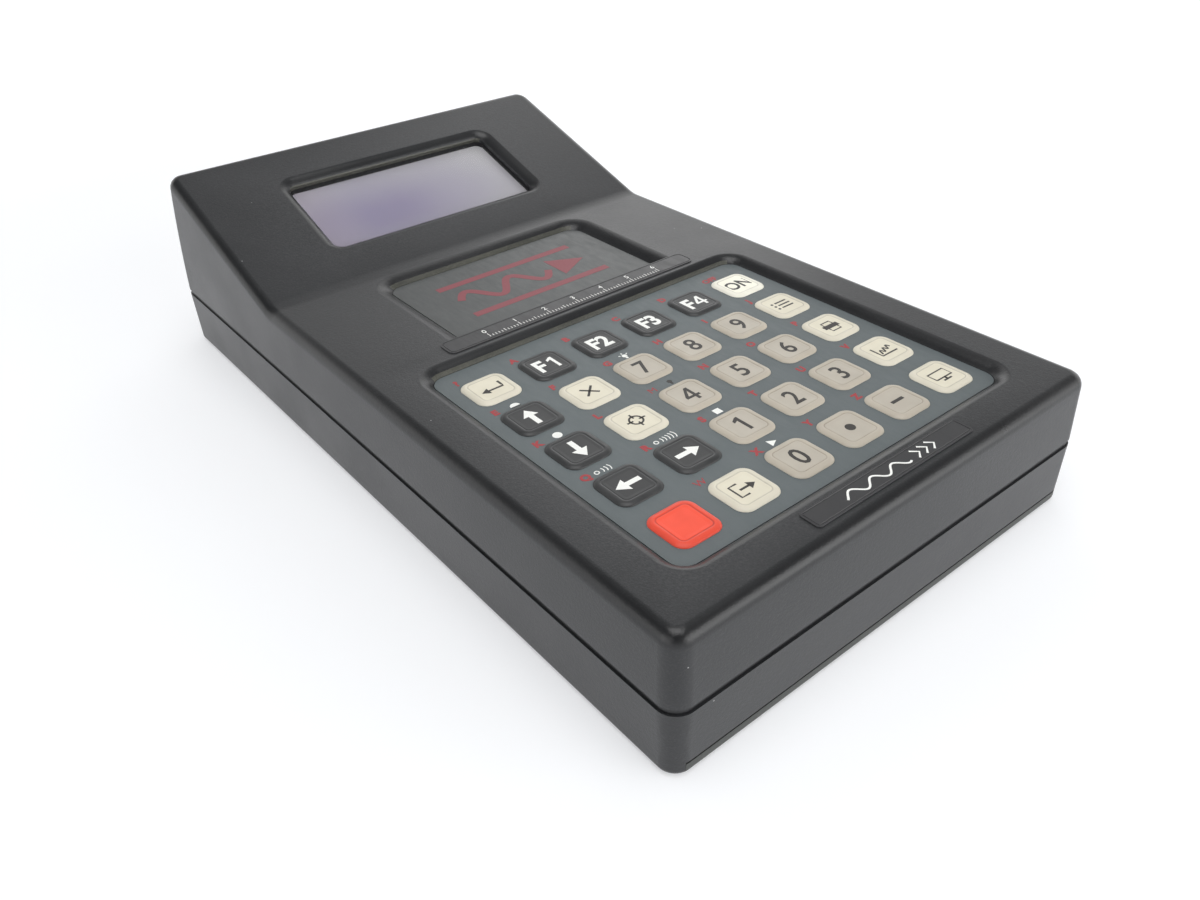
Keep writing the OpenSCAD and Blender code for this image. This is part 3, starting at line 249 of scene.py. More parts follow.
def add_piece(name, mesh, finishes, body, stands_for=(), angle=SHARP):
    """Shades a mesh smooth up to the angle, hangs it on its body, and hides the CAD nodes that it stands for."""
    for used in finishes:
        mesh.materials.append(finish(used))
    mesh.shade_smooth()
    mesh.set_sharp_from_angle(angle=math.radians(angle))
    piece = linked(name, mesh)
    piece.modifiers.new("Even normals", "WEIGHTED_NORMAL").keep_sharp = True
    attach(piece, body)
    if stands_for:
        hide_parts(*stands_for)


def shell_piece(name, shell, finishes, body, stands_for=(), angle=SHARP):
    """Turns a gathered surface into a piece: points that coincide become one, and all faces point outwards."""
    mesh = shell.mesh(name)
    bm = bmesh.new()
    bm.from_mesh(mesh)
    bmesh.ops.remove_doubles(bm, verts=bm.verts, dist=WELD)
    bmesh.ops.recalc_face_normals(bm, faces=bm.faces)
    bm.to_mesh(mesh)
    bm.free()
    add_piece(name, mesh, finishes, body, stands_for, angle)


def coordinates(mesh):
    """A mesh's points, one in each row."""
    points = np.empty(len(mesh.vertices) * 3)
    mesh.vertices.foreach_get("co", points)
    return points.reshape(-1, 3)


def smooth_copy(name, node, used, body):
    """A CAD node's own triangles, with equal points merged by their rounded coordinates, shaded smooth."""
    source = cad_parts[node].data
    points, corners = coordinates(source), np.empty(len(source.loops), int)
    source.loops.foreach_get("vertex_index", corners)
    _, first, merged = np.unique(
        np.round(points / WELD).astype(np.int64), axis=0, return_index=True, return_inverse=True)
    triangles = merged.reshape(-1)[corners].reshape(-1, 3)
    real = np.all(triangles != np.roll(triangles, 1, axis=1), axis=1)
    mesh = bpy.data.meshes.new(name)
    mesh.from_pydata(points[first].tolist(), [], triangles[real].tolist())
    mesh.validate()
    add_piece(name, mesh, [used], body, (node,))


def dress(**finishes):
    """Gives each CAD node that is named a finish through its material slots."""
    for node, used in finishes.items():
        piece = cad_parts[node]
        if not piece.material_slots:
            piece.data.materials.append(finish(used))
        for slot in piece.material_slots:
            slot.material = finish(used)


def angles(start, end, steps):
    """Radians in equal steps between two angles in degrees."""
    return np.radians(np.linspace(start, end, steps + 1))


def columns(*parts):
    """Arrays side by side as the columns of one, where a single number fills its column."""
    return np.stack(np.broadcast_arrays(*parts), axis=1)


def raised(flat, z):
    """Flat points at one height, or each at its own."""
    return columns(*flat.T, z)


def corner_loop(w, l, r, radius, steps):
    """Points round a rectangle whose corners are arcs about axes r inside its corners, with the given radius."""
    a = angles(0, 90, steps)
    side_x, side_y = np.array([1, -1, -1, 1]), np.array([1, 1, -1, -1])
    turn = np.radians(np.arange(4) * 90)[:, None] + a[None, :]
    x = side_x[:, None] * (w / 2 - r) + radius * np.cos(turn)
    y = side_y[:, None] * (l / 2 - r) + radius * np.sin(turn)
    return columns(x.ravel(), y.ravel())


def carried(w, l, r, profile, steps):
    """The profile's points, outward distance and height, each carried round the rectangle as a loop."""
    return np.array([raised(corner_loop(w, l, r, p[0], steps), p[1]) for p in profile])


def shoulder(r, depth, seat, radius):
    """A recess's side: an arc of the radius from the surface down to the depth, then straight down to the seat."""
    start = math.acos((radius - SHOULDER_RISE) / radius)
    end = math.acos((radius - depth - SHOULDER_RISE) / radius)
    a = np.linspace(start, end, SHOULDER_STEPS + 1)
    run = radius * math.sin(end)
    arc = columns(r + run - radius * np.sin(a), SHOULDER_RISE - radius + radius * np.cos(a))
    return np.vstack([arc, [[r, -seat]]])


class Marks:
    """Thin raised marks in a plane, in millimetres: lines, filled outlines and figures, gathered into one shell.

    A drawing lists each mark's kind and its values; ink is the number of its ink among the piece's finishes.
    """

    THICKNESS = 0.02 * MM

    def __init__(self, shell, at, drawing):
        self.shell, self.at = shell, np.array(at)
        for kind, *details in drawing:
            getattr(self, kind)(*details)

    def solid(self, flat, ink=1):
        """A filled outline with a small thickness."""
        low = raised(np.asarray(flat, float) * MM, 0.0) + self.at
        self.shell.closed([low, low + [0, 0, self.THICKNESS]], ink=ink)

    def shapes(self, outlines, x=0, size=1.0, turn=0, ink=1):
        """Filled outlines, turned by degrees, scaled and moved to x."""
        c, s = math.cos(math.radians(turn)), math.sin(math.radians(turn))
        for flat in outlines:
            self.solid(flat @ np.array([[c, s], [-s, c]]) * size + [x, 0], ink)

    def line(self, path, width, ink=1):
        """A closed bar along a path: each point is moved half the width both ways along the mean normal there."""
        path = np.asarray(path, float)
        d = np.gradient(path, axis=0)
        normal = columns(-d[:, 1], d[:, 0]) / np.linalg.norm(d, axis=1)[:, None]
        left, right = (path + normal * width / 2) * MM, (path - normal * width / 2) * MM
        rows = [raised(right, 0), raised(right, self.THICKNESS), raised(left, self.THICKNESS), raised(left, 0)]
        self.shell.closed(np.stack(rows, axis=1) + self.at, ink=ink)

    def ring(self, x, y, radius, width, ink=1, start=0.0, end=360.0, steps=28):
        """A round line, or an arc between two angles."""
        a = angles(start, end, steps)
        self.line(columns(x + radius * np.cos(a), y + radius * np.sin(a)), width, ink)

    def disc(self, x, y, radius, ink=1, start=0.0, end=360.0, steps=28):
        """A filled circle, or the part of it between two angles."""
        a = angles(start, end, steps)[: steps + (end - start < 360)]
        self.solid(columns(x + radius * np.cos(a), y + radius * np.sin(a)), ink)

    def box(self, x0, y0, x1, y1, ink=1):
        self.solid([[x0, y0], [x1, y0], [x1, y1], [x0, y1]], ink)

    def figure(self, text, size, x=0.0, y=0.0, ink=1, bold=0.0, narrow=1.0):
        """Letters or figures, filled from their outlines and centred on the place."""
        curve = bpy.data.curves.new("figure", "FONT")
        curve.body, curve.size, curve.align_x, curve.align_y = text, 1.0, "CENTER", "CENTER"
        curve.extrude, curve.offset, curve.resolution_u = 0.5, bold, 3
        holder = linked("figure", curve)
        mesh = bpy.data.meshes.new_from_object(holder.evaluated_get(bpy.context.evaluated_depsgraph_get()))
        points, start = coordinates(mesh), self.shell.count
        middle = (points.min(axis=0) + points.max(axis=0)) / 2
        points = (points - middle) * [size * MM * narrow, size * MM, self.THICKNESS]
        self.shell.loop(points + [x * MM, y * MM, self.THICKNESS / 2] + self.at)
        self.shell.faces += [[start + v for v in p.vertices] for p in mesh.polygons]
        self.shell.inks += [ink] * len(mesh.polygons)
        bpy.data.objects.remove(holder)
        bpy.data.meshes.remove(mesh)
        bpy.data.curves.remove(curve)


# Finishes

NOISE_RANGE = (0.3, 0.7)        # what most of a noise lies between
CLOUDS, SPECKS = 26 * MM, 7 * MM
BOARD_RUNS, CABLE_LINES, DISPLAY_DOTS = 9 * MM, 1.27 * MM, 1 * MM


class Nodes:
    """Shader nodes of a material or world: each method adds nodes and gives the socket that holds their result."""

    def __init__(self, owner):
        owner.use_nodes = True
        self.tree = owner.node_tree

    def put(self, value, socket):
        """Links a socket, or writes a number or colour as the socket's own value."""
        if isinstance(value, bpy.types.NodeSocket):
            self.tree.links.new(value, socket)
        else:
            socket.default_value = value

    def add(self, kind, settings=None, **inputs):
        """Adds a node; its inputs are named with _ for a space, and s0, s1 and so on give them by number."""
        made = self.tree.nodes.new("ShaderNode" + kind)
        for key, value in (settings or {}).items():
            setattr(made, key, value)
        for key, value in inputs.items():
            numbered = key[0] == "s" and key[1:].isdigit()
            self.put(value, made.inputs[int(key[1:]) if numbered else key.replace("_", " ")])
        return made.outputs

    def mix(self, amount, *colours):
        """The first colour where the amount is 0, and the second where it is 1."""
        a, b = (c if isinstance(c, bpy.types.NodeSocket) else (*c[:3], 1.0) for c in colours)
        return self.add("Mix", {"data_type": "RGBA"}, s0=amount, s6=a, s7=b)[2]

    def ramp(self, value, low, high, to_low=0.0, to_high=1.0):
        """The value mapped from one range to another and held inside it."""
        return self.add("MapRange", None, Value=value, From_Min=low, From_Max=high, To_Min=to_low, To_Max=to_high)[0]

    def spread(self, noise, to_low=0.0, to_high=1.0):
        return self.ramp(noise, *NOISE_RANGE, to_low, to_high)

    def maths(self, operation, a, b=0.0):
        return self.add("Math", {"operation": operation}, s0=a, s1=b)[0]

    def times(self, a, b):
        return self.maths("MULTIPLY", a, b)

    def vector(self, operation, a, b=(0, 0, 0)):
        return self.add("VectorMath", {"operation": operation}, s0=a, s1=b)["Value"]

    def part(self, vector, axis):
        return self.add("SeparateXYZ", None, Vector=vector)[axis]

    def place(self):
        return self.add("TexCoord")["Object"]

    def grains(self, size, detail=2.0, rough=0.5, stretch=(1, 1, 1)):
        """Noise on Object coordinates whose grain has the given size, stretched along the axes."""
        stretched = self.add("Mapping", None, Vector=self.place(), Scale=stretch)[0]
        return self.add("TexNoise", None, Vector=stretched, Scale=1 / size, Detail=detail, Roughness=rough)[0]


class Finish(Nodes):
    """A material in the making, with its tone so far: at first an even colour."""

    def __init__(self, name, colour):
        self.made, self.tone = bpy.data.materials.new(name), colour
        super().__init__(self.made)

    def lay(self, colour, amount):
        """Lays a colour over the tone so far, as much of it as the amount says."""
        self.tone = self.mix(amount, self.tone, colour)

    def wear(self):
        """How far the surface is worn, and where shade is painted: above 0 it is rubbed, and below 0 it is polished
        and, on moulded plastic, painted darker as shade; on keys high values paint shade in the groove.
        """
        return self.add("Attribute", {"attribute_name": "wear"})["Fac"]

    def done(self, gloss, height=None, depth=0.0, strength=1.0, **others):
        """Puts tone, roughness, bump and other values on the shader, and gives the material."""
        if height is not None:
            others["Normal"] = self.add("Bump", None, Height=height, Distance=depth, Strength=strength)[0]
        skin = self.tree.nodes["Principled BSDF"].inputs
        for name, value in {"Base_Color": self.tone, "Roughness": gloss, **others}.items():
            self.put(value, skin[name.replace("_", " ")])
        return self.made


def tinted(colour, times, plus=0.0):
    return tuple(min(1.0, times * c + plus) for c in colour[:3])


def moulded(name, colour, scuff, roughness, grain, depth, dust):
    """Moulded plastic: eroded grain, slow changes of tone, dust specks, duller where rubbed, and painted shade with a
    little more gloss where the point value is below 0.
    """
    f = Finish(name, colour)
    fine, cloud, wear = f.grains(grain, 3, 0.6), f.grains(CLOUDS, 3, 0.6), f.wear()
    f.lay(scuff, f.spread(cloud, 0.0, 0.1))
    f.lay(scuff, f.ramp(fine, 0.5, 0.75, 0.0, 0.2))
    grit = f.ramp(f.grains(grain * 1.6, 2, 0.7), 0.4, 0.62, 0.15, 1.0)
    f.lay(scuff, f.times(wear, grit))
    # Painted shade: below 0 the tone is laid darker on the top edge's rounding, the recess shoulders and the groove's
    # back wall; the lower roughness there is real gloss
    polish_and_shade = f.ramp(wear, -1.0, 0.0, 1.0, 0.0)
    f.lay(tinted(colour, 0.35), polish_and_shade)
    specks = f.add("TexVoronoi", None, Vector=f.place(), Scale=1 / SPECKS, Randomness=1.0)
    near = f.ramp(specks["Distance"], 0.016, 0.03, 1.0, 0.0)
    some = f.ramp(f.add("SeparateColor", None, Color=specks["Color"])[0], 0.55, 0.57)
    f.lay((0.5, 0.5, 0.5), f.times(f.times(near, some), dust))
    gloss = f.spread(cloud, roughness - 0.04, roughness + 0.05)
    gloss = f.maths("SUBTRACT", gloss, f.times(polish_and_shade, 0.04))
    height = f.maths("ADD", fine, f.grains(grain * 2.6, 2, 0.7))
    return f.done(gloss, height, depth, IOR=1.46)


def key_film(name, colour, rim, groove):
    """Printed film over a key: even tone, a rim of its own tone, painted shade in the groove (a painted light line on
    black keys), faint patches of the groove's tone and a fine satin grain.
    """
    f = Finish(name, colour)
    cloud, wear = f.grains(5 * MM), f.wear()
    f.lay(rim, f.ramp(wear, 0.0, 0.5))
    # Painted shade in the key's fine groove, where the point value is high; on black keys the groove's colour is
    # lighter, a painted light line
    f.lay(groove, f.times(f.ramp(wear, 0.62, 1.0), f.ramp(cloud, 0.3, 0.65, 0.3, 0.7)))
    f.lay(groove, f.ramp(cloud, 0.35, 0.65, 0.0, 0.1))
    return f.done(f.spread(cloud, 0.36, 0.5), f.grains(0.16 * MM), 0.012 * MM)


def film(name, colour, other, roughness, grain=0.25 * MM, depth=0.02 * MM):
    """Printed or painted film: a fine grain, a slow change of tone and faint rubbed marks."""
    f = Finish(name, colour)
    fine, rub = f.grains(grain, 3, 0.6), f.grains(1.2 * MM, 2, 0.6, (1.0, 0.25, 1.0))
    f.lay(other, f.spread(f.grains(9 * MM, 3, 0.6), 0.0, 0.3))
    f.lay(other, f.ramp(fine, 0.5, 0.75, 0.0, 0.2))
    return f.done(f.spread(rub, roughness - 0.06, roughness + 0.06), fine, depth)


def ink_film(name, colour):
    """Screen-printed ink: nearly even, with small thin places."""
    f = Finish(name, colour)
    thin = f.grains(0.3 * MM, 3, 0.6)
    f.lay(tinted(colour, 0.8, 0.04), f.ramp(thin, 0.45, 0.75, 0.0, 0.6))
    return f.done(f.spread(thin, 0.4, 0.6), thin, 0.01 * MM)


def metal(name, colour, roughness, stretch=(1, 1, 1)):
    """Bare metal with brushed lines along one axis, and duller stained places."""
    f = Finish(name, colour)
    lines = f.grains(0.12 * MM, 2, 0.7, stretch)
    f.lay(tinted(colour, 0.72), f.ramp(f.grains(4 * MM, 3, 0.6), 0.35, 0.7, 0.0, 0.25))
    gloss = f.spread(lines, roughness - 0.08, roughness + 0.1)
    return f.done(gloss, lines, 0.01 * MM, 0.7, Metallic=1.0)


def laminate(name, colour):
    """Circuit board: green lacquer over paler runs laid like bricks and a fibre weave."""
    f = Finish(name, colour)
    runs = f.add("TexBrick", {"offset": 0.5}, Vector=f.place(), Scale=1 / BOARD_RUNS, Mortar_Size=0.02,
                 Brick_Width=0.7, Row_Height=0.14)["Fac"]
    weave, lighter = f.grains(0.5 * MM, 1, 0.5, (1, 0.2, 1)), tinted(colour, 1.9, 0.02)
    f.lay(lighter, runs)
    f.lay(lighter, f.ramp(weave, 0.4, 0.7, 0.0, 0.2))
    return f.done(f.spread(weave, 0.25, 0.4), runs, 0.03 * MM)


def flat_cable(name, colour, tin):
    """Flat cable: pale film with tinned lines across its width."""
    f = Finish(name, colour)
    lines = f.ramp(f.maths("SINE", f.times(f.part(f.place(), 0), TAU / CABLE_LINES)), 0.0, 0.4)
    f.lay(tin, lines)
    return f.done(f.ramp(lines, 0.0, 1.0, 0.42, 0.25), lines, 0.04 * MM)


def resting_display(name, display, slope):
    """Resting display: grey towards the border, tinted towards the middle and left, its dots faintly seen."""
    f = Finish(name, display.middle)
    centre = slope.place(np.array([-12, -4, -8]) * MM)
    half = np.array([display.width * 0.66, display.height * 0.8, 30 * MM])
    centred = f.add("Mapping", None, Vector=f.place(), Location=(-centre / half).tolist(), Scale=(1 / half).tolist())[0]
    cloud = f.grains(30 * MM)
    wide = f.maths("ADD", f.vector("LENGTH", centred), f.spread(cloud, -0.07, 0.07))
    f.lay(display.border, f.ramp(wide, 0.2, 1.1))
    f.lay(display.blush, f.ramp(f.part(centred, 0), -0.15, -1.0, 0.0, 0.55))
    dots = f.add("TexBrick", {"offset": 0.0}, Vector=f.place(), Scale=1 / DISPLAY_DOTS, Mortar_Size=0.04,
                 Brick_Width=0.42, Row_Height=0.42)["Fac"]
    f.lay((0.2, 0.2, 0.22), f.times(dots, 0.02))
    return f.done(f.spread(cloud, 0.3, 0.4), cloud, 0.005 * MM)


def clear_window(name, colour):
    """Clear hard window: smooth, with faint wiping marks in its gloss."""
    f = Finish(name, colour)
    wiped = f.grains(3 * MM, 3, 0.6, (1.0, 0.15, 1.0))
    gloss = f.ramp(wiped, 0.3, 0.8, 0.03, 0.07)
    return f.done(gloss, wiped, 0.00005 * MM, IOR=1.49, Alpha=0.06)


def sleeve(name, colour, faded):
    """Shrunk sleeve on the cells: blue film with lengthwise wrinkles and a worn sheen."""
    f = Finish(name, colour)
    wrinkle = f.grains(1.1 * MM, 3, 0.5, (1.0, 0.2, 1.0))
    f.lay(faded, f.ramp(wrinkle, 0.35, 0.7))
    return f.done(f.spread(wrinkle, 0.22, 0.4), wrinkle, 0.05 * MM)


def recipes():
    """Each finish's maker and what it is made with."""
    case, keys, display, labels = (getattr(values(), part) for part in ("case", "keys", "display", "labels"))
    return {
        "moulded_black": (moulded, case.colour, case.scuff, 0.34, case.grain, 0.035 * MM, 0.8),
        "door_plastic": (moulded, case.door, case.scuff, 0.5, case.grain, 0.03 * MM, 0.3),
        "black_plastic": (moulded, (0.015, 0.015, 0.016), (0.05, 0.05, 0.05), 0.45, 0.3 * MM, 0.02 * MM, 0.1),
        # Grit on a recess's far wall, its tone painted lighter as painted light on that wall
        "gritty_wall": (film, linear(52, 53, 47), linear(104, 103, 92), 0.4, 0.5 * MM, 0.14 * MM),
        "seal_rubber": (film, (0.02, 0.02, 0.02), (0.04, 0.04, 0.04), 0.7, 0.3 * MM, 0.03 * MM),
        "screw_steel": (metal, (0.6, 0.6, 0.61), 0.35),
        "steel_sheet": (metal, (0.55, 0.56, 0.58), 0.35, (0.1, 1, 1)),
        "brass": (metal, (0.72, 0.52, 0.2), 0.3, (1, 1, 0.1)),
        "socket_metal": (metal, (0.5, 0.5, 0.51), 0.3, (1, 0.15, 1)),
        "contact_gold": (metal, (0.8, 0.58, 0.24), 0.22),
        "socket_core": (film, linear(206, 203, 190), linear(170, 166, 152), 0.45, 0.2 * MM, 0.01 * MM),
        # Each key's last colour is painted shade in its groove, a painted light line on black keys
        "key_cream": (key_film, keys.cream, (0.70, 0.66, 0.55), (0.42, 0.38, 0.30)),
        "key_bright": (key_film, keys.bright, (0.86, 0.84, 0.74), (0.5, 0.46, 0.38)),
        "key_tan": (key_film, keys.tan, (0.50, 0.45, 0.37), (0.25, 0.21, 0.17)),
        "key_black": (key_film, keys.black, (0.03, 0.031, 0.032), (0.1, 0.102, 0.104)),
        "key_red": (key_film, keys.red, (0.78, 0.07, 0.035), (0.42, 0.03, 0.02)),
        "panel_grey": (film, keys.panel, tinted(keys.panel, 0.8), 0.52),
        "spacer_film": (film, (0.6, 0.6, 0.57), (0.5, 0.5, 0.47), 0.5),
        "board_green": (laminate, (0.015, 0.09, 0.045)),
        "flat_cable": (flat_cable, (0.78, 0.78, 0.74), (0.42, 0.43, 0.45)),
        "name_plastic": (film, labels.panel, tinted(labels.panel, 0.82), 0.4, 0.3 * MM, 0.02 * MM),
        "strip_plastic": (film, labels.strip, tinted(labels.strip, 0.7), 0.38, 0.3 * MM, 0.015 * MM),
        **{"ink_" + tone: (ink_film, getattr(labels, tone)) for tone in ("white", "red", "dull", "dark")},
        "resting_display": (resting_display, display, Slope(case)),
        "clear_window": (clear_window, (0.2, 0.2, 0.22, 1.0)),
        "cell_sleeve": (sleeve, (0.012, 0.035, 0.12), (0.02, 0.055, 0.17)),
    }


MADE = {}


def finish(name):
    """Makes a finish once and gives it by its name."""
    if name not in MADE:
        maker, *details = recipes()[name]
        MADE[name] = maker(name, *details)
    return MADE[name]


# The upper half's shape, where the values above leave it open

Recess = namedtuple("Recess", "w l y depth seat radius")
PAD = Recess(*np.array([107.2, 93.0, -59.9, 2.1, 4.2, 5.0]) * MM)
NAME = Recess(*np.array([70.0, 50.5, 14.75, 2.1, 2.6, 8.0]) * MM)
NAME_FRONT = -1.5 * MM
RECESS_CORNER = 4.5 * MM
VIEW_CORNER = 3.0 * MM
VIEW_SHARE = 0.443               # of the slope's length, up to the display's middle
VIEW_SHOULDER_DEPTH = 1.9 * MM
SHEET_INSET, SHEET_HEIGHTS = 0.25 * MM, (-4.7 * MM, -4.56 * MM)
PART_LINE = -5.0 * MM            # between the two deck recesses
CEILING = (31.3 * MM, 32.9 * MM)  # under the keypad, and from there to the head
REBATE_TOP, REBATE_INSET = 21.5 * MM, 1.15 * MM
SKIRT_FOOT, SKIRT_INSET = 17.78 * MM, 0.45 * MM
INNER_CORNER = 4.35 * MM
BACK_RECESS = {"w": 118.0 * MM, "l": 20.0 * MM, "r": 3.0 * MM, "radius": 3.0 * MM}
BACK_RECESS_DEPTH = 5.4 * MM
BACK_AXIS, BACK_FLOOR = 32.0, 115.6
# Top edge's rounding: painted shade with a little more gloss, darkest at the rounding's middle
POLISHED_SHADED_EDGE = -0.8
# Recess lips: a lighter top row, then painted shade on the shoulder's arc, nothing on the arc's last row and on the
# seat
LIP_WEAR_AND_SHADE = [0.2] + [-0.5] * (SHOULDER_STEPS - 1) + [0.0, 0.0]
# Rim: rubbed bevel and bottom edge, then painted shade on the groove's back wall from the rim down to the skirt's foot
RIM_WEAR_AND_SHADE = [0.1, 0.4, -0.7, -0.7, 0.0, 0.0, 0.0, 0.0]
# First row, last row and half width of the gritty strip on a recess's far side, painted lighter than the other walls as
# painted light
GRITTY_LIT_DECK = (SHOULDER_STEPS - 3, SHOULDER_STEPS + 1, 4)
GRITTY_LIT_VIEW = (SHOULDER_STEPS - 1, SHOULDER_STEPS + 1, 5)


class Slope:
    """The head's slope, worked out from the case's values."""

    def __init__(self, case):
        self.case = case
        self.angle = math.atan((case.head - case.deck) / case.run)
        self.break_y = case.depth / 2 - case.run
        self.start = self.break_y - case.bend * math.tan(self.angle / 2)
        self.end = self.break_y + case.bend * math.tan(self.angle / 2) * math.cos(self.angle)
        self.view_s = case.run / math.cos(self.angle) * VIEW_SHARE

    def top(self, y):
        """Height of the top: the deck, then a round bend, then the slope."""
        bend = self.case.bend
        inside = np.clip(y - self.start, 0, bend)
        bent = self.case.deck + bend - np.sqrt(bend ** 2 - inside ** 2)
        sloped = self.case.deck + (y - self.break_y) * math.tan(self.angle)
        return np.where(y <= self.start, self.case.deck, np.where(y >= self.end, sloped, bent))

    def place(self, points):
        """Points given from the display's middle, across, up the slope and out of it, moved to the case."""
        points = np.asarray(points, float)
        up = points[..., 1] + self.view_s
        y = self.break_y + up * math.cos(self.angle) - points[..., 2] * math.sin(self.angle)
        z = self.case.deck + up * math.sin(self.angle) + points[..., 2] * math.cos(self.angle)
        return np.stack([points[..., 0], y, z], axis=-1)


def outline(case, slope, back, corner):
    """Right half of an outline, front to back: centres, directions, and 1 at the back corner, as columns."""
    x, front = case.width / 2 - corner, -case.depth / 2 + corner
    a = angles(-90, 0, CORNER_STEPS)
    sides = np.concatenate([
        [PART_LINE, PART_LINE + 0.1 * MM], np.linspace(slope.start, slope.end, BEND_STEPS + 1)])
    b = angles(0, 90, CORNER_STEPS)
    return np.concatenate([
        columns(x, front, np.cos(a), np.sin(a), 0.0), columns(x, sides, 1.0, 0.0, 0.0),
        columns(x, back - corner, np.cos(b), np.sin(b), 1.0)])


def ring(half, reach, lean=0.0):
    """A whole loop: centres moved out by the reach, leaned at the back corner, then mirrored."""
    x = half[:, 0] + half[:, 2] * reach
    y = half[:, 1] + half[:, 3] * reach - half[:, 4] * lean
    right = columns(x, y)
    return np.concatenate([right, right[::-1] * [-1, 1]])


def upper_surface(case, display):
    """Skin, top with three recesses, back recess, rim, rebate, inner walls and ceiling, as one closed surface.

    The skin is the outline moved in by draft + edge * (1 - cos a) and dropped by edge * (1 - sin a). The back wall
    bows by 1 - (2 t - 1) squared. A recess is an arc carried round a rectangle, and the top between the recesses
    is one quad from each point of a recess to the matching point of the part's edge.
    """
    shell, slope = Shell(), Slope(case)
    half = outline(case, slope, case.depth / 2, case.corner)
    count, turn = len(half), CORNER_STEPS + 1
    part, bend = CORNER_STEPS + 1, CORNER_STEPS + 3
    bend_end = bend + BEND_STEPS

    def mirror(i):
        return 2 * count - 1 - i

    def skin(inset, drop):
        flat = ring(half, case.corner - inset, case.lean * (1 - drop / (case.head - case.rim)))
        return raised(flat, slope.top(flat[:, 1]) - drop)

    edges = [skin(case.draft + case.edge * (1 - math.cos(t)), case.edge * (1 - math.sin(t)))
             for t in angles(90, 0, EDGE_STEPS)]
    bottom = [raised(ring(half, case.corner), case.rim + case.bevel),
              raised(ring(half, case.corner - case.bevel), case.rim)]
    walls = []
    for t in np.linspace(1, 0, BOW_STEPS + 1)[1:-1]:
        wall = bottom[0] + (edges[-1] - bottom[0]) * t
        wall[:, 1] += np.concatenate([half[:, 4], half[::-1, 4]]) * case.bow * (1 - (2 * t - 1) ** 2)
        walls.append(wall)
    inner_half = outline(case, slope, case.depth / 2 - case.back_wall, INNER_CORNER)
    inner_half[:, 0] -= case.wall
    inner_half[:turn, 1] += case.wall
    inner = ring(inner_half, INNER_CORNER)
    plane = case.deck - display.depth / math.cos(slope.angle) + (
        inner[:, 1] - slope.break_y) * math.tan(slope.angle)
    under = np.where(inner[:, 1] <= PART_LINE + 0.05 * MM, CEILING[0],
                     np.where(inner[:, 1] < slope.start - 1e-6, CEILING[1], plane))
    skirt, rebate = (ring(half, case.corner - inset) for inset in (SKIRT_INSET, REBATE_INSET))
    inside = [raised(skirt, case.rim), raised(skirt, SKIRT_FOOT), raised(rebate, SKIRT_FOOT),
              raised(rebate, REBATE_TOP), raised(inner, REBATE_TOP), raised(inner, under)]
    # Painted shade on the top edge's rounding, darkest at its middle, with a little more gloss; none on the walls
    band = POLISHED_SHADED_EDGE * np.sin(np.pi * np.linspace(0, 1, len(edges))) ** 0.7
    wear = [*band, *np.zeros(len(walls)), *RIM_WEAR_AND_SHADE]
    rows = [shell.loop(p, w) for p, w in zip(edges + walls + bottom + inside, wear)]

    # Walls: every bridge, apart from the back side of the wall, which holds the connector recess
    crest, foot = len(edges) - 1, len(edges) + len(walls)
    for j, (upper, lower) in enumerate(zip(rows[:-1], rows[1:])):
        if crest - 1 <= j <= foot:
            for side in (slice(count), slice(count, None), [2 * count - 1, 0]):
                shell.bridge(upper[side], lower[side], closed=False)
        else:
            shell.bridge(upper, lower)

    # The back face: loops that run from its frame to the mouth of the connector recess, along the bowed wall
    levels = np.array([p[count - 1] for p in [edges[-1], *walls, bottom[0]]])[::-1]
    mouth = corner_loop(**BACK_RECESS, steps=CORNER_STEPS) + [0, BACK_AXIS * MM]
    side, half_side = levels[0, 0], (BOW_STEPS + 1) // 2
    across = np.linspace(side, -side, 2 * (turn - half_side) + 2)
    right = columns(side, levels[:, 2])
    top = columns(across, levels[-1, 2])[1:-1]
    base = columns(across[::-1], levels[0, 2])[1:-1]
    border = np.concatenate([right[half_side:], top, right[::-1] * [-1, 1], base, right[:half_side]])
    loops = []
    for v in np.linspace(0, 1, FRAME_STEPS + 1):
        x, z = (border + (mouth - border) * v).T
        loops.append(columns(x, np.interp(z, levels[:, 2], levels[:, 1]), z))
    loops.append(np.insert(mouth, 1, case.depth / 2 - BACK_RECESS_DEPTH, axis=1))
    frame_row = shell.loft(loops, last=True)[0]
    top_line = frame_row[half_side - 1: half_side - 1 + len(across)]
    base_line = frame_row[3 * turn - len(across) // 2: 3 * turn + len(across) // 2]
    shell.cap([rows[crest - 1][count - 1], *top_line, rows[crest - 1][count]])
    shell.cap([rows[foot + 1][count], *base_line, rows[foot + 1][count - 1]])

    # The top: three parts with a recess each, and the strips between them
    def part_edge(points, back_right, front_right):
        """The outer edge of one part of the top or ceiling, with as many points as its recess."""
        q0, q3 = (np.broadcast_to(i, turn) for i in (back_right, front_right))
        return shell.loop(points[np.concatenate([q0, mirror(q0[::-1]), mirror(q3[::-1]), q3])])

    def sunk(recess):
        """A deck recess's profile and loops."""
        profile = shoulder(RECESS_CORNER, recess.depth, recess.seat, recess.radius)
        loops = carried(recess.w, recess.l, RECESS_CORNER, profile, CORNER_STEPS)
        return profile, loops + [0, recess.y, case.deck]

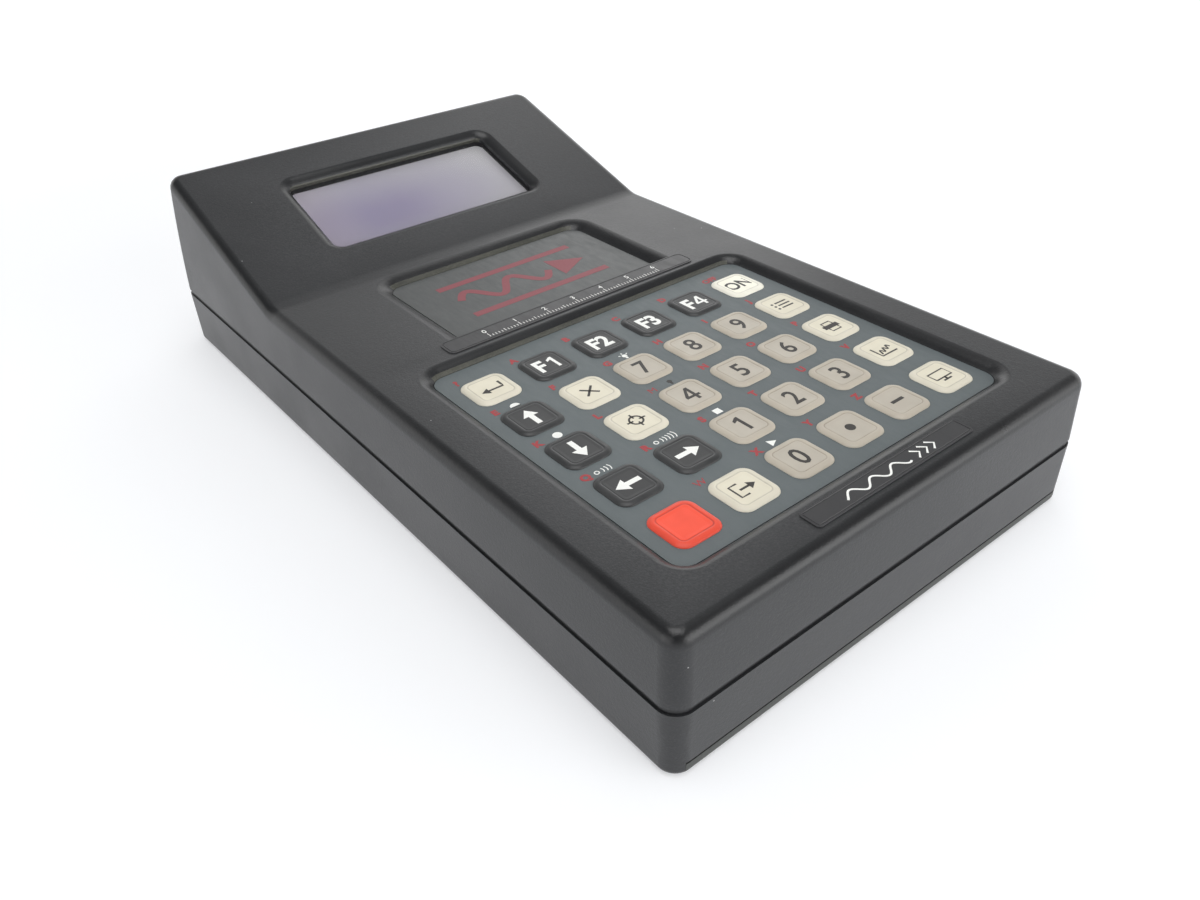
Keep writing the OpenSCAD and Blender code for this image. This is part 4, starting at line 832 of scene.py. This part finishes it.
    front_arc, back_arc = np.arange(turn), np.arange(count - turn, count)
    rows_pad = shell.loft(sunk(PAD)[1], last=True, wear=LIP_WEAR_AND_SHADE, grit=GRITTY_LIT_DECK)
    shell.bridge(part_edge(edges[0], part, front_arc), rows_pad[0])
    profile, loops = sunk(NAME)
    for loop, (reach, _) in zip(loops, profile):
        loop[2 * turn:, 0] = np.repeat([-1, 1], turn) * (NAME.w / 2 - RECESS_CORNER + reach)
        loop[2 * turn:, 1] = NAME_FRONT
    rows_name = shell.loft(loops, last=True, wear=LIP_WEAR_AND_SHADE, grit=GRITTY_LIT_DECK)
    shell.bridge(part_edge(edges[0], bend, part + 1), rows_name[0])
    view = shoulder(VIEW_CORNER, VIEW_SHOULDER_DEPTH, display.depth, display.shoulder)
    loops = slope.place(carried(display.width, display.height, VIEW_CORNER, view, CORNER_STEPS))
    rows_view = shell.loft(loops, wear=LIP_WEAR_AND_SHADE, grit=GRITTY_LIT_VIEW)
    shell.bridge(part_edge(edges[0], back_arc, bend_end), rows_view[0])
    for i in [part, *range(bend, bend_end)]:
        shell.cap(shell.loop(edges[0][[i, i + 1, mirror(i + 1), mirror(i)]]))

    # The ceiling: a flat front, steps, and the slope round the display's opening
    roof = inside[-1]
    shell.cap(shell.loop(roof[np.concatenate([np.arange(0, part + 1), mirror(np.arange(part, -1, -1))])])[::-1])
    for i in range(part, bend_end):
        shell.cap(shell.loop(roof[[i, i + 1, mirror(i + 1), mirror(i)]])[::-1])
    shell.bridge(part_edge(roof, back_arc, bend_end), rows_view[-1])
    return shell


# Keys and marks

KEYS = (
    ("enter", "f1", "f2", "f3", "f4", "on"),
    ("up", "clear", "7", "8", "9", "program"),
    ("down", "calibrate", "4", "5", "6", "print"),
    ("left", "right", "1", "2", "3", "log"),
    ("red", "exit", "0", "dot", "minus", "display"),
)
KEY_MIDDLE = -61.4 * MM
KEY_TOP, KEY_FOOT, KEY_LEDGE, PANEL_TOP = (np.array([36.1, 34.5, 34.8, 35.4]) * MM).tolist()
KEY_STEPS = 9
KEY_FLANGE, RIM_DROP = 0.5 * MM, 0.02 * MM
GROOVE_START, GROOVE_WIDTH, GROOVE_DEPTH = 0.35 * MM, 0.5 * MM, 0.09 * MM
DISH_START, DISH_WIDTH = 0.15 * MM, 0.9 * MM
GROOVE_FLOOR, DISH_FLOOR = 0.3, 0.55      # of the dish's depth
SHADES = {
    **dict.fromkeys(("enter", "clear", "program", "calibrate", "print", "log", "exit", "display"), "cream"),
    **dict.fromkeys(("f1", "f2", "f3", "f4", "up", "down", "left", "right"), "black"), "on": "bright", "red": "red"}
ABOVE_KEY = 8.1 * MM
MARK_RISE = 0.004 * MM
ON_PANEL = PANEL_TOP + MARK_RISE
PEN = 0.62
THIN, FINE = PEN * 0.8, PEN * 0.7

ARROW = (((-3.3, -0.7), (0.5, -0.7), (0.5, -2.1), (3.5, 0), (0.5, 2.1), (0.5, 0.7), (-3.3, 0.7)),)
ONE = (((-0.05, -3.1), (0.95, -3.1), (0.95, 3.1), (0.25, 3.1), (-1.35, 2.05), (-1.35, 1.1), (-0.05, 1.7)),)
FOUR = (
    ((0.3, -3.1), (1.25, -3.1), (1.25, 3.1), (0.3, 3.1)),
    ((-2.3, -1.65), (0.28, -1.65), (0.28, -0.77), (-2.3, -0.77)),
    ((1.27, -1.65), (2.2, -1.65), (2.2, -0.77), (1.27, -0.77)),
    ((-2.3, -0.75), (-1.15, -0.75), (0.28, 1.75), (0.28, 3.1)))


def wave(x, height, period, phase=0.0, middle=0.0):
    """Points of a sine along x."""
    return columns(x, middle + height * np.sin((x + phase) * TAU / period))


def trace():
    """The log key's curve: sine squared on a rising line."""
    x = np.linspace(-2.1, 2.7, 22)
    return columns(x, -0.9 + 1.5 * np.sin(x * 1.9 + 3.9) ** 2 + 0.28 * x)


def letter_key(number):
    """The letter F with a drawn or lettered figure beside it."""
    if number in "23":
        return [("figure", "F" + number, 7.6, 0, 0, 1, 0.034, 0.88)]
    return [("figure", "F", 7.6, -1.9, 0, 1, 0.034, 0.88), ("shapes", ONE if number == "1" else FOUR, 2.0, 0.86)]


def echoes(count):
    """A small ring and the arcs that leave it."""
    arcs = [("ring", -1.6 + i * 0.75, -0.2, 1.2 + 0.22 * i, 0.26, 1, -38, 38, 10) for i in range(count)]
    return [("ring", -2.2, -0.2, 0.55, 0.28, 1, 0, 360, 18), *arcs]


def ray(degrees):
    """A short ray of the lit lamp's sign."""
    c, s = math.cos(math.radians(degrees)), math.sin(math.radians(degrees))
    return ("line", [(0.8 + r * c, r * s) for r in (1.05, 1.3, 1.6)], 0.3)


# The marks on the keys, a plain sign on each command key
SIGNS = {
    **{"f" + n: letter_key(n) for n in "1234"},
    **{n: [("figure", n, 8.2, 0, 0, 1, 0.014, 0.9)] for n in "02356789"},
    "1": [("shapes", ONE, 0, 0.94)],
    "4": [("shapes", FOUR, 0, 0.94)],
    "on": [("figure", "ON", 6.4, 0, 0, 1, 0.02, 0.88)],
    **{key: [("shapes", ARROW, 0, 1.0, turn)] for key, turn in zip(("right", "up", "left", "down"), range(0, 360, 90))},
    "dot": [("disc", 0, 0, 1.3)],
    "minus": [("box", -2.1, -0.5, 2.1, 0.5)],
    "enter": [("line", ((3, 1.8), (3, 0), (3, -0.9), (-1.2, -0.9)), PEN),
              ("solid", ((-3.2, -0.9), (-1.1, -2.2), (-1.1, 0.4)))],
    "clear": [("line", ((-1.8, -1.8), (0, 0), (1.8, 1.8)), PEN), ("line", ((-1.8, 1.8), (0, 0), (1.8, -1.8)), PEN)],
    "calibrate": [("ring", 0, 0, 1.7, THIN)] + [
        ("line", [(x * k, y * k) for k in (0.9, 1.8, 2.7)], THIN) for x, y in ((1, 0), (-1, 0), (0, 1), (0, -1))],
    "program": [mark for y in (-1.5, 0, 1.5) for mark in (
        ("box", -1.5, y - 0.28, 2.8, y + 0.28), ("disc", -2.6, y, 0.42, 1, 0, 360, 16))],
    "print": [("box", -2.7, -0.9, 2.7, 0.8), ("line", ((-1.6, 0.8), (-1.6, 2.2), (1.6, 2.2), (1.6, 0.8)), FINE),
              ("line", ((-1.6, -0.9), (-1.6, -2.3), (1.6, -2.3), (1.6, -0.9)), FINE)],
    "log": [("line", ((-2.8, 2.1), (-2.8, 0), (-2.8, -2.1), (0, -2.1), (2.9, -2.1)), THIN), ("line", trace(), THIN)],
    "exit": [("line", ((-0.4, 2.1), (-2.7, 2.1), (-2.7, -2.1), (-0.4, -2.1)), THIN),
             ("box", -1.3, -0.3, 1.5, 0.3), ("solid", ((1.3, 1.3), (1.3, -1.3), (3.2, 0)))],
    "display": [("line", ((-2.9, -1.0), (-2.9, 1.9), (2.9, 1.9), (2.9, -1.0), (-2.9, -1.0), (-2.9, -0.6)), FINE),
                ("box", -1.5, -2.3, 1.5, -1.8), ("box", -0.35, -1.9, 0.35, -1.0)],
    "red": [],
}

# The small marks above the keys: a red letter or sign at the left, and a white or dark sign beside some
LETTERED = [key for row in KEYS for key in row if key not in ("enter", "on", "red", "display")]
RED_MARKS = {
    **{key: [("figure", letter, 3.0, -5.2, -0.2, 0, 0.0 if letter in "MW" else 0.06)]
       for key, letter in zip(LETTERED, "ABCDEFGHIJKLMNOPQRSTUVWXYZ")},
    "enter": [("figure", "?", 3.4, -5.0, 0, 0, 0.045)],
    "on": [("figure", "OFF", 3.0, -3.4, 0, 0, 0.04)],
}
SIDE_MARKS = {
    "up": [("disc", 0.2, -0.9, 1.35, 1, 0, 180, 18), ("box", -1.15, -1.35, 1.55, -1.1, 2)],
    "down": [("disc", 0.2, -0.2, 1.2)],
    "left": echoes(3),
    "right": echoes(5),
    "7": [("disc", 0.8, 0, 0.75, 1, 0, 360, 18), ray(30), ray(90), ray(150), ("box", 0.45, -1.4, 1.15, -0.6)],
    "4": [("disc", 0.8, 0.2, 0.7, 2, 0, 360, 18), ("box", 0.5, -1.2, 1.1, -0.3, 2)],
    "1": [("box", -0.9, -1.0, 1.1, 1.0)],
    "0": [("solid", ((-0.8, -1.2), (1.4, 0), (-0.8, 1.2)))],
}

# The strips' profile: how far in from the side and how high above the deck
STRIP_INSET = (0, 0, 0.06, 0.4, 0.5, 0.68, 0.78)
STRIP_HEIGHT = (0, 0.24, 0.3, 0.3, 0.16, 0.16, 0.3)
STRIP_MARKS, STRIP_STEPS = 0.302 * MM, 8
RULER = [("box", i - 30.09, -2.2, i - 29.91, -2.2 + (1.9 if i % 10 == 0 else 1.35 if i % 5 == 0 else 0.9))
         for i in range(61)] + [("figure", str(i), 2.5, i * 10 - 30, 1.15, 1, 0.004) for i in range(7)]
FLOW = [("line", wave(np.linspace(-15, 6, 60), 1.15, 7), 0.5)] + [
    ("line", [(x, 1.5), (x + 1.7, 0), (x, -1.5)], 0.5) for x in (8.2, 10.8, 13.4)]
STRIPS = (("long_strip", "upper_strip", 86.0, 7.0, 2.0, -5.4, RULER),
          ("short_strip", "front_strip", 52.4, 5.8, 1.0, -113.5, FLOW))
# A pipe between two bars, with a wave and an arrow along it
PIPE_SIGN = [("box", -24, 10.2, 24, 12.8, 0), ("box", -24, -9.8, 24, -7.2, 0),
             ("line", wave(np.linspace(-22, 9, 120), 4.2, 15.5, 22, 1.5), 2.3, 0),
             ("solid", ((11.5, 7.4), (11.5, -4.4), (22.5, 1.5)), 0)]
PIPE_SIGN_Y = 18 * MM


def key_profile(keys):
    """Reach from the corner axes and height: foot, skirt, swelling side, rim, fine groove and shallow dish.

    The side rises by sin of its share to the power 0.6, and the groove dips by sin of its share.
    """
    r, top = keys.corner, KEY_TOP - RIM_DROP
    t, u, v = np.linspace(0, 1, 10) ** 1.7, np.linspace(0, 1, 7)[1:], np.linspace(0, 1, 5)[1:]
    swell = columns(
        r + keys.gap - (keys.rim - GROOVE_START) * t, PANEL_TOP + (top - PANEL_TOP) * np.sin(t * np.pi / 2) ** 0.6)
    groove = columns(
        r - keys.rim + GROOVE_START - GROOVE_WIDTH * u,
        top - keys.dish * GROOVE_FLOOR * u - GROOVE_DEPTH * np.sin(np.pi * u))
    dish = columns(
        r - keys.rim - DISH_START - DISH_WIDTH * v, top - keys.dish * (GROOVE_FLOOR + (DISH_FLOOR - GROOVE_FLOOR) * v))
    lead = [(r + KEY_FLANGE, KEY_FOOT), (r + KEY_FLANGE, KEY_LEDGE), (r + keys.gap, KEY_LEDGE)]
    # The groove's values paint shade in the groove; the foot and the swelling side carry the rim's tone
    groove_shade = 0.3 + 0.7 * np.sin(np.pi * u)
    groove_shade[-1] = 0
    return np.vstack([lead, swell, groove, dish]), [0.8, 0.8, 0.8, *(0.45 - 0.15 * t), *groove_shade, *np.zeros(len(v))]


def placed_keys(pitch):
    """Each key's name and place."""
    for row, names in enumerate(KEYS):
        for column, key in enumerate(names):
            yield key, np.array([(column - 2.5) * pitch, KEY_MIDDLE + (2 - row) * pitch, 0])


# Connectors: profiles give the radius and the distance out of the recess floor, in millimetres

SOCKET_RING = (
    (0, -15), (6, -15), (6, -5), (7.5, -5), (7.5, -3), (6, -3), (6, 0), (7.2, 0), (7.5, 0.3), (7.5, 1.0), (7.1, 1.25),
    (7.1, 1.55), (7.5, 1.8), (7.5, 2.45), (7.25, 2.75), (6.9, 2.8), (5.4, 2.8), (5.2, 2.55), (4.9, 2.45), (4.5, 2.1),
    (4.5, -2.0))
SOCKET_CORE = ((4.5, -2.0), (4.1, -2.0), (4.0, -1.4), (3.6, -1.3), (0, -1.3))
SOCKETS = (("upstream_socket", "left_socket", -47, 1), ("downstream_socket", "middle_socket", -29, 1),
           ("io_socket", "signal_socket", -11, 7))
CONTACT = ((0, 0), (0.45, 0), (0.45, 1.6), (0.3, 1.95), (0, 2.05))
CONTACT_FOOT, CONTACT_REACH = BACK_FLOOR - 1.32, 2.3
SERIAL_X, SERIAL_FACE = 14.0, BACK_FLOOR + 2.9
SERIAL_PLATE = np.array([[-7.6, 3.4], [7.6, 3.4], [6.5, -3.4], [-6.5, -3.4]])
SERIAL_TAPER = ((1.0, 0.004), (0.995, 0.12), (0.975, 0.14))     # share of the size, and distance out
SERIAL_ROWS, SERIAL_PITCH = ((1.42, 5), (-1.42, 4)), 2.77
SERIAL_RIM, SERIAL_HOLE = ((0.64, 0.13), (0.62, 0.2), (0.44, 0.2), (0.42, 0.15)), ((0.42, 0.15), (0, 0.149))
JACK_X = 45.0
JACK_PIN = ((0, -8.0), (1.02, -8.0), (1.02, -0.6), (0.8, -0.38), (0, -0.36))


def turned(shell, profile, x, base=BACK_FLOOR, steps=48, ink=0, z=BACK_AXIS):
    """A profile turned about an axis that runs out of the back."""
    a = angles(0, 360, steps)[:-1]
    shell.loft([columns(x - r * np.cos(a), base + out, z + r * np.sin(a)) * MM for r, out in profile], ink=ink)


# Operators: one for each piece or group of like pieces

class Maker:
    """What all operators share."""
    bl_options = {"REGISTER", "UNDO"}


class FLOW_OT_upper_case(Maker, bpy.types.Operator):
    """Upper half of the case with its recesses"""
    bl_idname = "flow_meter.upper_case"
    bl_label = "Upper case"

    def execute(self, context):
        shell = upper_surface(values().case, values().display)
        shell_piece("upper_case", shell, ["moulded_black", "gritty_wall"], "case", ("upper_shell",))
        return {"FINISHED"}


class FLOW_OT_lower_case(Maker, bpy.types.Operator):
    """Lower half of the case, its seal and its screws"""
    bl_idname = "flow_meter.lower_case"
    bl_label = "Lower case"

    def execute(self, context):
        smooth_copy("lower_case", "lower_shell", "moulded_black", "case")
        smooth_copy("foot_screws", "case_screws", "screw_steel", "case")
        dress(case_seal="seal_rubber", threaded_inserts="brass")
        return {"FINISHED"}


class FLOW_OT_door(Maker, bpy.types.Operator):
    """Sliding battery door"""
    bl_idname = "flow_meter.door"
    bl_label = "Battery door"

    def execute(self, context):
        smooth_copy("sliding_door", "battery_door", "door_plastic", "door")
        return {"FINISHED"}


class FLOW_OT_keys(Maker, bpy.types.Operator):
    """Thirty keys with their marks"""
    bl_idname = "flow_meter.keys"
    bl_label = "Keys"

    def execute(self, context):
        keys = values().keys
        profile, wear = key_profile(keys)
        face = [0, 0, KEY_TOP - RIM_DROP + MARK_RISE - DISH_FLOOR * keys.dish]
        for key, place in placed_keys(keys.pitch):
            tone, shell = "key_" + SHADES.get(key, "tan"), Shell()
            loops = carried(keys.width, keys.width, keys.corner, profile, KEY_STEPS) + place
            shell.closed(loops, wear=wear)
            Marks(shell, place + face, SIGNS[key])
            used = [tone, "ink_white" if tone == "key_black" else "ink_dark"]
            shell_piece("cap_" + key, shell, used, "key_" + key, ("key_" + key,))
        return {"FINISHED"}


class FLOW_OT_keypad(Maker, bpy.types.Operator):
    """Grey panel round the keys, its marks, and the layers under it"""
    bl_idname = "flow_meter.keypad"
    bl_label = "Keypad"

    def execute(self, context):
        dress(keypad_overlay="panel_grey", keypad_spacer="spacer_film", keypad_circuit="board_green",
              keypad_tail="flat_cable")
        shell = Shell()
        for key, place in placed_keys(values().keys.pitch):
            drawing = RED_MARKS.get(key, []) + SIDE_MARKS.get(key, [])
            Marks(shell, place + [0, ABOVE_KEY, ON_PANEL], drawing)
        shell_piece("panel_marks", shell, ["ink_red", "ink_white", "ink_dark"], "case")
        return {"FINISHED"}


class FLOW_OT_labels(Maker, bpy.types.Operator):
    """Name panel and the two strips, with their plain marks"""
    bl_idname = "flow_meter.labels"
    bl_label = "Labels"

    def execute(self, context):
        dress(name_panel="name_plastic")
        deck = values().case.deck
        for name, node, w, l, r, y, drawing in STRIPS:
            shell = Shell()
            profile = columns(r - np.array(STRIP_INSET), STRIP_HEIGHT) * MM + [0, deck]
            shell.closed(carried(w * MM, l * MM, r * MM, profile, STRIP_STEPS) + [0, y * MM, 0])
            Marks(shell, [0, y * MM, deck + STRIP_MARKS], drawing)
            shell_piece(name, shell, ["strip_plastic", "ink_white"], "case", (node,), 20)
        shell = Shell()
        Marks(shell, [0, PIPE_SIGN_Y, ON_PANEL], PIPE_SIGN)
        shell_piece("name_sign", shell, ["ink_dull"], "case")
        return {"FINISHED"}


class FLOW_OT_display(Maker, bpy.types.Operator):
    """Display with its window, gasket, bezel and board"""
    bl_idname = "flow_meter.display"
    bl_label = "Display"

    def execute(self, context):
        display, slope, shell = values().display, Slope(values().case), Shell()
        profile = [(VIEW_CORNER - SHEET_INSET, height) for height in SHEET_HEIGHTS]
        sheet = carried(display.width, display.height, VIEW_CORNER, profile, CORNER_STEPS)
        shell.closed(slope.place(sheet))
        shell_piece("display_face", shell, ["resting_display"], "case")
        dress(display_glass="resting_display", display_window="clear_window", window_gasket="seal_rubber",
              display_bezel="steel_sheet", display_board="board_green", display_ribbon="flat_cable")
        return {"FINISHED"}


class FLOW_OT_inside(Maker, bpy.types.Operator):
    """Boards, screws, sounder and battery pack inside the case"""
    bl_idname = "flow_meter.inside"
    bl_label = "Inside"

    def execute(self, context):
        smooth_copy("small_screws", "board_screws", "screw_steel", "case")
        smooth_copy("buzzer", "sounder", "black_plastic", "case")
        smooth_copy("cell_pack", "battery_pack", "cell_sleeve", "case")
        dress(main_board="board_green", shield_can="steel_sheet", battery_contacts="brass")
        return {"FINISHED"}


class FLOW_OT_connectors(Maker, bpy.types.Operator):
    """Sockets, serial port and power jack on the back end"""
    bl_idname = "flow_meter.connectors"
    bl_label = "Connectors"

    def execute(self, context):
        for node, name, x, contacts in SOCKETS:
            shell = Shell()
            turned(shell, SOCKET_RING, x)
            turned(shell, SOCKET_CORE, x, ink=1)
            away = CONTACT_REACH if contacts > 1 else 0
            for t in np.arange(contacts) * TAU / contacts:
                turned(shell, CONTACT, x + away * math.cos(t), CONTACT_FOOT, 16, 2, BACK_AXIS + away * math.sin(t))
            used = ["socket_metal", "socket_core", "contact_gold"]
            shell_piece(name, shell, used, "case", (node,), 30)
        smooth_copy("data_port", "serial_port", "socket_metal", "case")
        shell_piece("port_face", self.serial_face(), ["black_plastic", "contact_gold"], "case", (), 30)
        smooth_copy("charge_jack", "power_jack", "black_plastic", "case")
        shell = Shell()
        turned(shell, JACK_PIN, JACK_X, steps=24)
        shell_piece("jack_pin", shell, ["steel_sheet"], "case", (), 30)
        return {"FINISHED"}

    def serial_face(self):
        """The port's insulator: a tapered plate inside the shell's rim, with a rimmed contact in each place."""
        shell = Shell()
        x, z = SERIAL_PLATE.T
        shell.closed([columns(SERIAL_X + x * k, SERIAL_FACE + out, BACK_AXIS + z * k) * MM for k, out in SERIAL_TAPER])
        for up, count in SERIAL_ROWS:
            for x in SERIAL_X + (np.arange(count) - (count - 1) / 2) * SERIAL_PITCH:
                turned(shell, SERIAL_RIM, x, SERIAL_FACE, 16, 1, BACK_AXIS + up)
                turned(shell, SERIAL_HOLE, x, SERIAL_FACE, 16, 0, BACK_AXIS + up)
        return shell


# Lamps: name, the stage's value for its power, times, size, place and what it points at
MIDDLE = (0, 0, 0.02)
LAMPS = (
    ("top_lamp", "top_light", 1.0, 0.9, (-0.12, -0.2, 1.25), MIDDLE),
    ("side_lamp", "side_light", 1.0, 1.1, (-1.15, -0.1, 0.3), MIDDLE),
    ("front_lamp", "side_light", 3.6, 1.3, (0.45, -1.25, 0.22), MIDDLE),
    ("back_card", "card_light", 1.0, 0.24, (0.3, 0.31, 0.27), (0.06, 0.08, 0.045)),
)
FLOOR_LEVEL, FLOOR_MARGIN = -0.02 * MM, 2.5 * MM
FLOOR_RINGS = (0.2, 0.6, 2.0, 6.0)
SPOT, BEHIND_CAMERA = (0.42, 0.55, 0.722), (-0.62, -0.76, 0.2)
CAMERA_PLACE, CAMERA_SHIFT = (-0.15634, -0.21266, 0.16751), -0.05
CAMERA_FORWARD, CAMERA_RIGHT = (0.52877, 0.66700, -0.52489), (0.77323, -0.63359, -0.02619)


class FLOW_OT_stage(Maker, bpy.types.Operator):
    """Pale floor, soft lamps and the camera"""
    bl_idname = "flow_meter.stage"
    bl_label = "Stage"

    def execute(self, context):
        stage = values().stage
        self.floor(stage)
        self.sky(stage)
        for name, light, times, size, place, target in LAMPS:
            data = bpy.data.lights.new(name, "AREA")
            data.energy, data.size = getattr(stage, light) * times, size
            lamp = linked(name, data)
            lamp.location = place
            lamp.rotation_euler = (Vector(target) - Vector(place)).to_track_quat("-Z", "Y").to_euler()
        self.camera(stage)
        return {"FINISHED"}

    def floor(self, stage):
        """A wide disc just under the meter, open where the case stands, so that the underside can be seen.

        Its material adds light of its own for the camera, gloss and glass, more of it further out.
        """
        shell, case = Shell(), values().case
        opening = np.array([case.width, case.depth]) / 2 - FLOOR_MARGIN
        corner = math.atan2(opening[1], opening[0])
        a = np.sort(np.append(np.radians(np.arange(0, 360, 5)), [
            corner, math.pi - corner, math.pi + corner, TAU - corner]))
        way = columns(np.cos(a), np.sin(a), 0.0)
        nearest = np.min(opening / np.maximum(np.abs(way[:, :2]), 1e-9), axis=1)
        shell.loft([way * r + [0, 0, FLOOR_LEVEL] for r in (nearest[:, None], *FLOOR_RINGS)])
        f = Finish("floor_paint", stage.floor)
        f.lay(tinted(stage.floor, 0.97), f.spread(f.grains(120 * MM), 0.0, 0.2))
        path = f.add("LightPath")
        seen = f.maths("MAXIMUM", path["Is Camera Ray"], path["Is Glossy Ray"])
        seen = f.maths("MAXIMUM", seen, path["Is Transmission Ray"])
        glow = f.times(seen, f.ramp(f.vector("LENGTH", f.place()), 0.3, 1.1, 0.44, 0.96))
        mesh = shell.mesh("floor")
        mesh.materials.append(f.done(0.6, Emission_Strength=glow, Emission_Color=(0.98, 0.98, 1.0, 1)))
        floor = linked("floor", mesh)

    def sky(self, stage):
        """Soft light all round: bright at the horizon, a soft spot ahead, dimmer overhead and behind the camera."""
        world = bpy.data.worlds.new("soft_room")
        bpy.context.scene.world = world
        f = Nodes(world)
        way = f.add("TexCoord")["Generated"]
        level = f.ramp(f.part(way, 2), 0.33, 0.56, 1.4, 0.17)
        level = f.maths("ADD", level, f.ramp(f.vector("DOT_PRODUCT", way, SPOT), 0.962, 0.992, 0.0, 0.9))
        dark = f.ramp(f.vector("DOT_PRODUCT", way, BEHIND_CAMERA), 0.5, 0.95, 1.0, 0.25)
        level = f.times(f.times(level, dark), stage.sky * 1.5)
        camera = f.add("LightPath")["Is Camera Ray"]
        back = f.tree.nodes["Background"].inputs
        f.put(f.add("Mix", {"data_type": "FLOAT"}, s0=camera, s2=level, s3=1.0)[0], back["Strength"])
        back["Color"].default_value = (1, 1, 1, 1)

    def camera(self, stage):
        """The camera stands where the photograph was taken from: its axes are the columns of a rotation matrix."""
        data = bpy.data.cameras.new("camera")
        data.sensor_width, data.lens, data.shift_y = 36.0, stage.lens, CAMERA_SHIFT
        data.clip_start, data.clip_end = 0.01, 30.0
        camera = linked("camera", data)
        forward = Vector(CAMERA_FORWARD).normalized()
        right = Vector(CAMERA_RIGHT).normalized()
        up = right.cross(forward).normalized()
        axes = Matrix((right, up, -forward)).transposed()
        camera.matrix_world = Matrix.Translation(CAMERA_PLACE) @ axes.to_4x4()
        bpy.context.scene.camera = camera
        bpy.context.scene.view_settings.view_transform = "Standard"


OPERATORS = (
    FLOW_OT_upper_case, FLOW_OT_lower_case, FLOW_OT_door, FLOW_OT_keys, FLOW_OT_keypad, FLOW_OT_labels,
    FLOW_OT_display, FLOW_OT_inside, FLOW_OT_connectors, FLOW_OT_stage)


class FLOW_PT_meter(bpy.types.Panel):
    """Sidebar panel of the flow meter"""
    bl_label = "Flow meter"
    bl_idname = "FLOW_PT_meter"
    bl_space_type = "VIEW_3D"
    bl_region_type = "UI"
    bl_category = "Flow meter"

    def draw(self, context):
        layout = self.layout
        for title in ("case", "keys", "display", "labels", "stage"):
            box = layout.box()
            box.label(text=title.capitalize())
            part = getattr(context.scene.flow_meter, title)
            for name in part.bl_rna.properties.keys():
                if name not in ("rna_type", "name"):
                    box.prop(part, name)
        for operator in OPERATORS:
            layout.operator(operator.bl_idname)


CLASSES = (CaseValues, KeyValues, DisplayValues, LabelValues, StageValues, MeterValues, *OPERATORS, FLOW_PT_meter)


def register():
    for made in CLASSES:
        bpy.utils.register_class(made)
    bpy.types.Scene.flow_meter = group(MeterValues, "Flow meter")


def unregister():
    del bpy.types.Scene.flow_meter
    for made in reversed(CLASSES):
        bpy.utils.unregister_class(made)


def main():
    register()
    for operator in OPERATORS:
        family, name = operator.bl_idname.split(".")
        getattr(getattr(bpy.ops, family), name)()


if __name__ == "__main__":
    main()
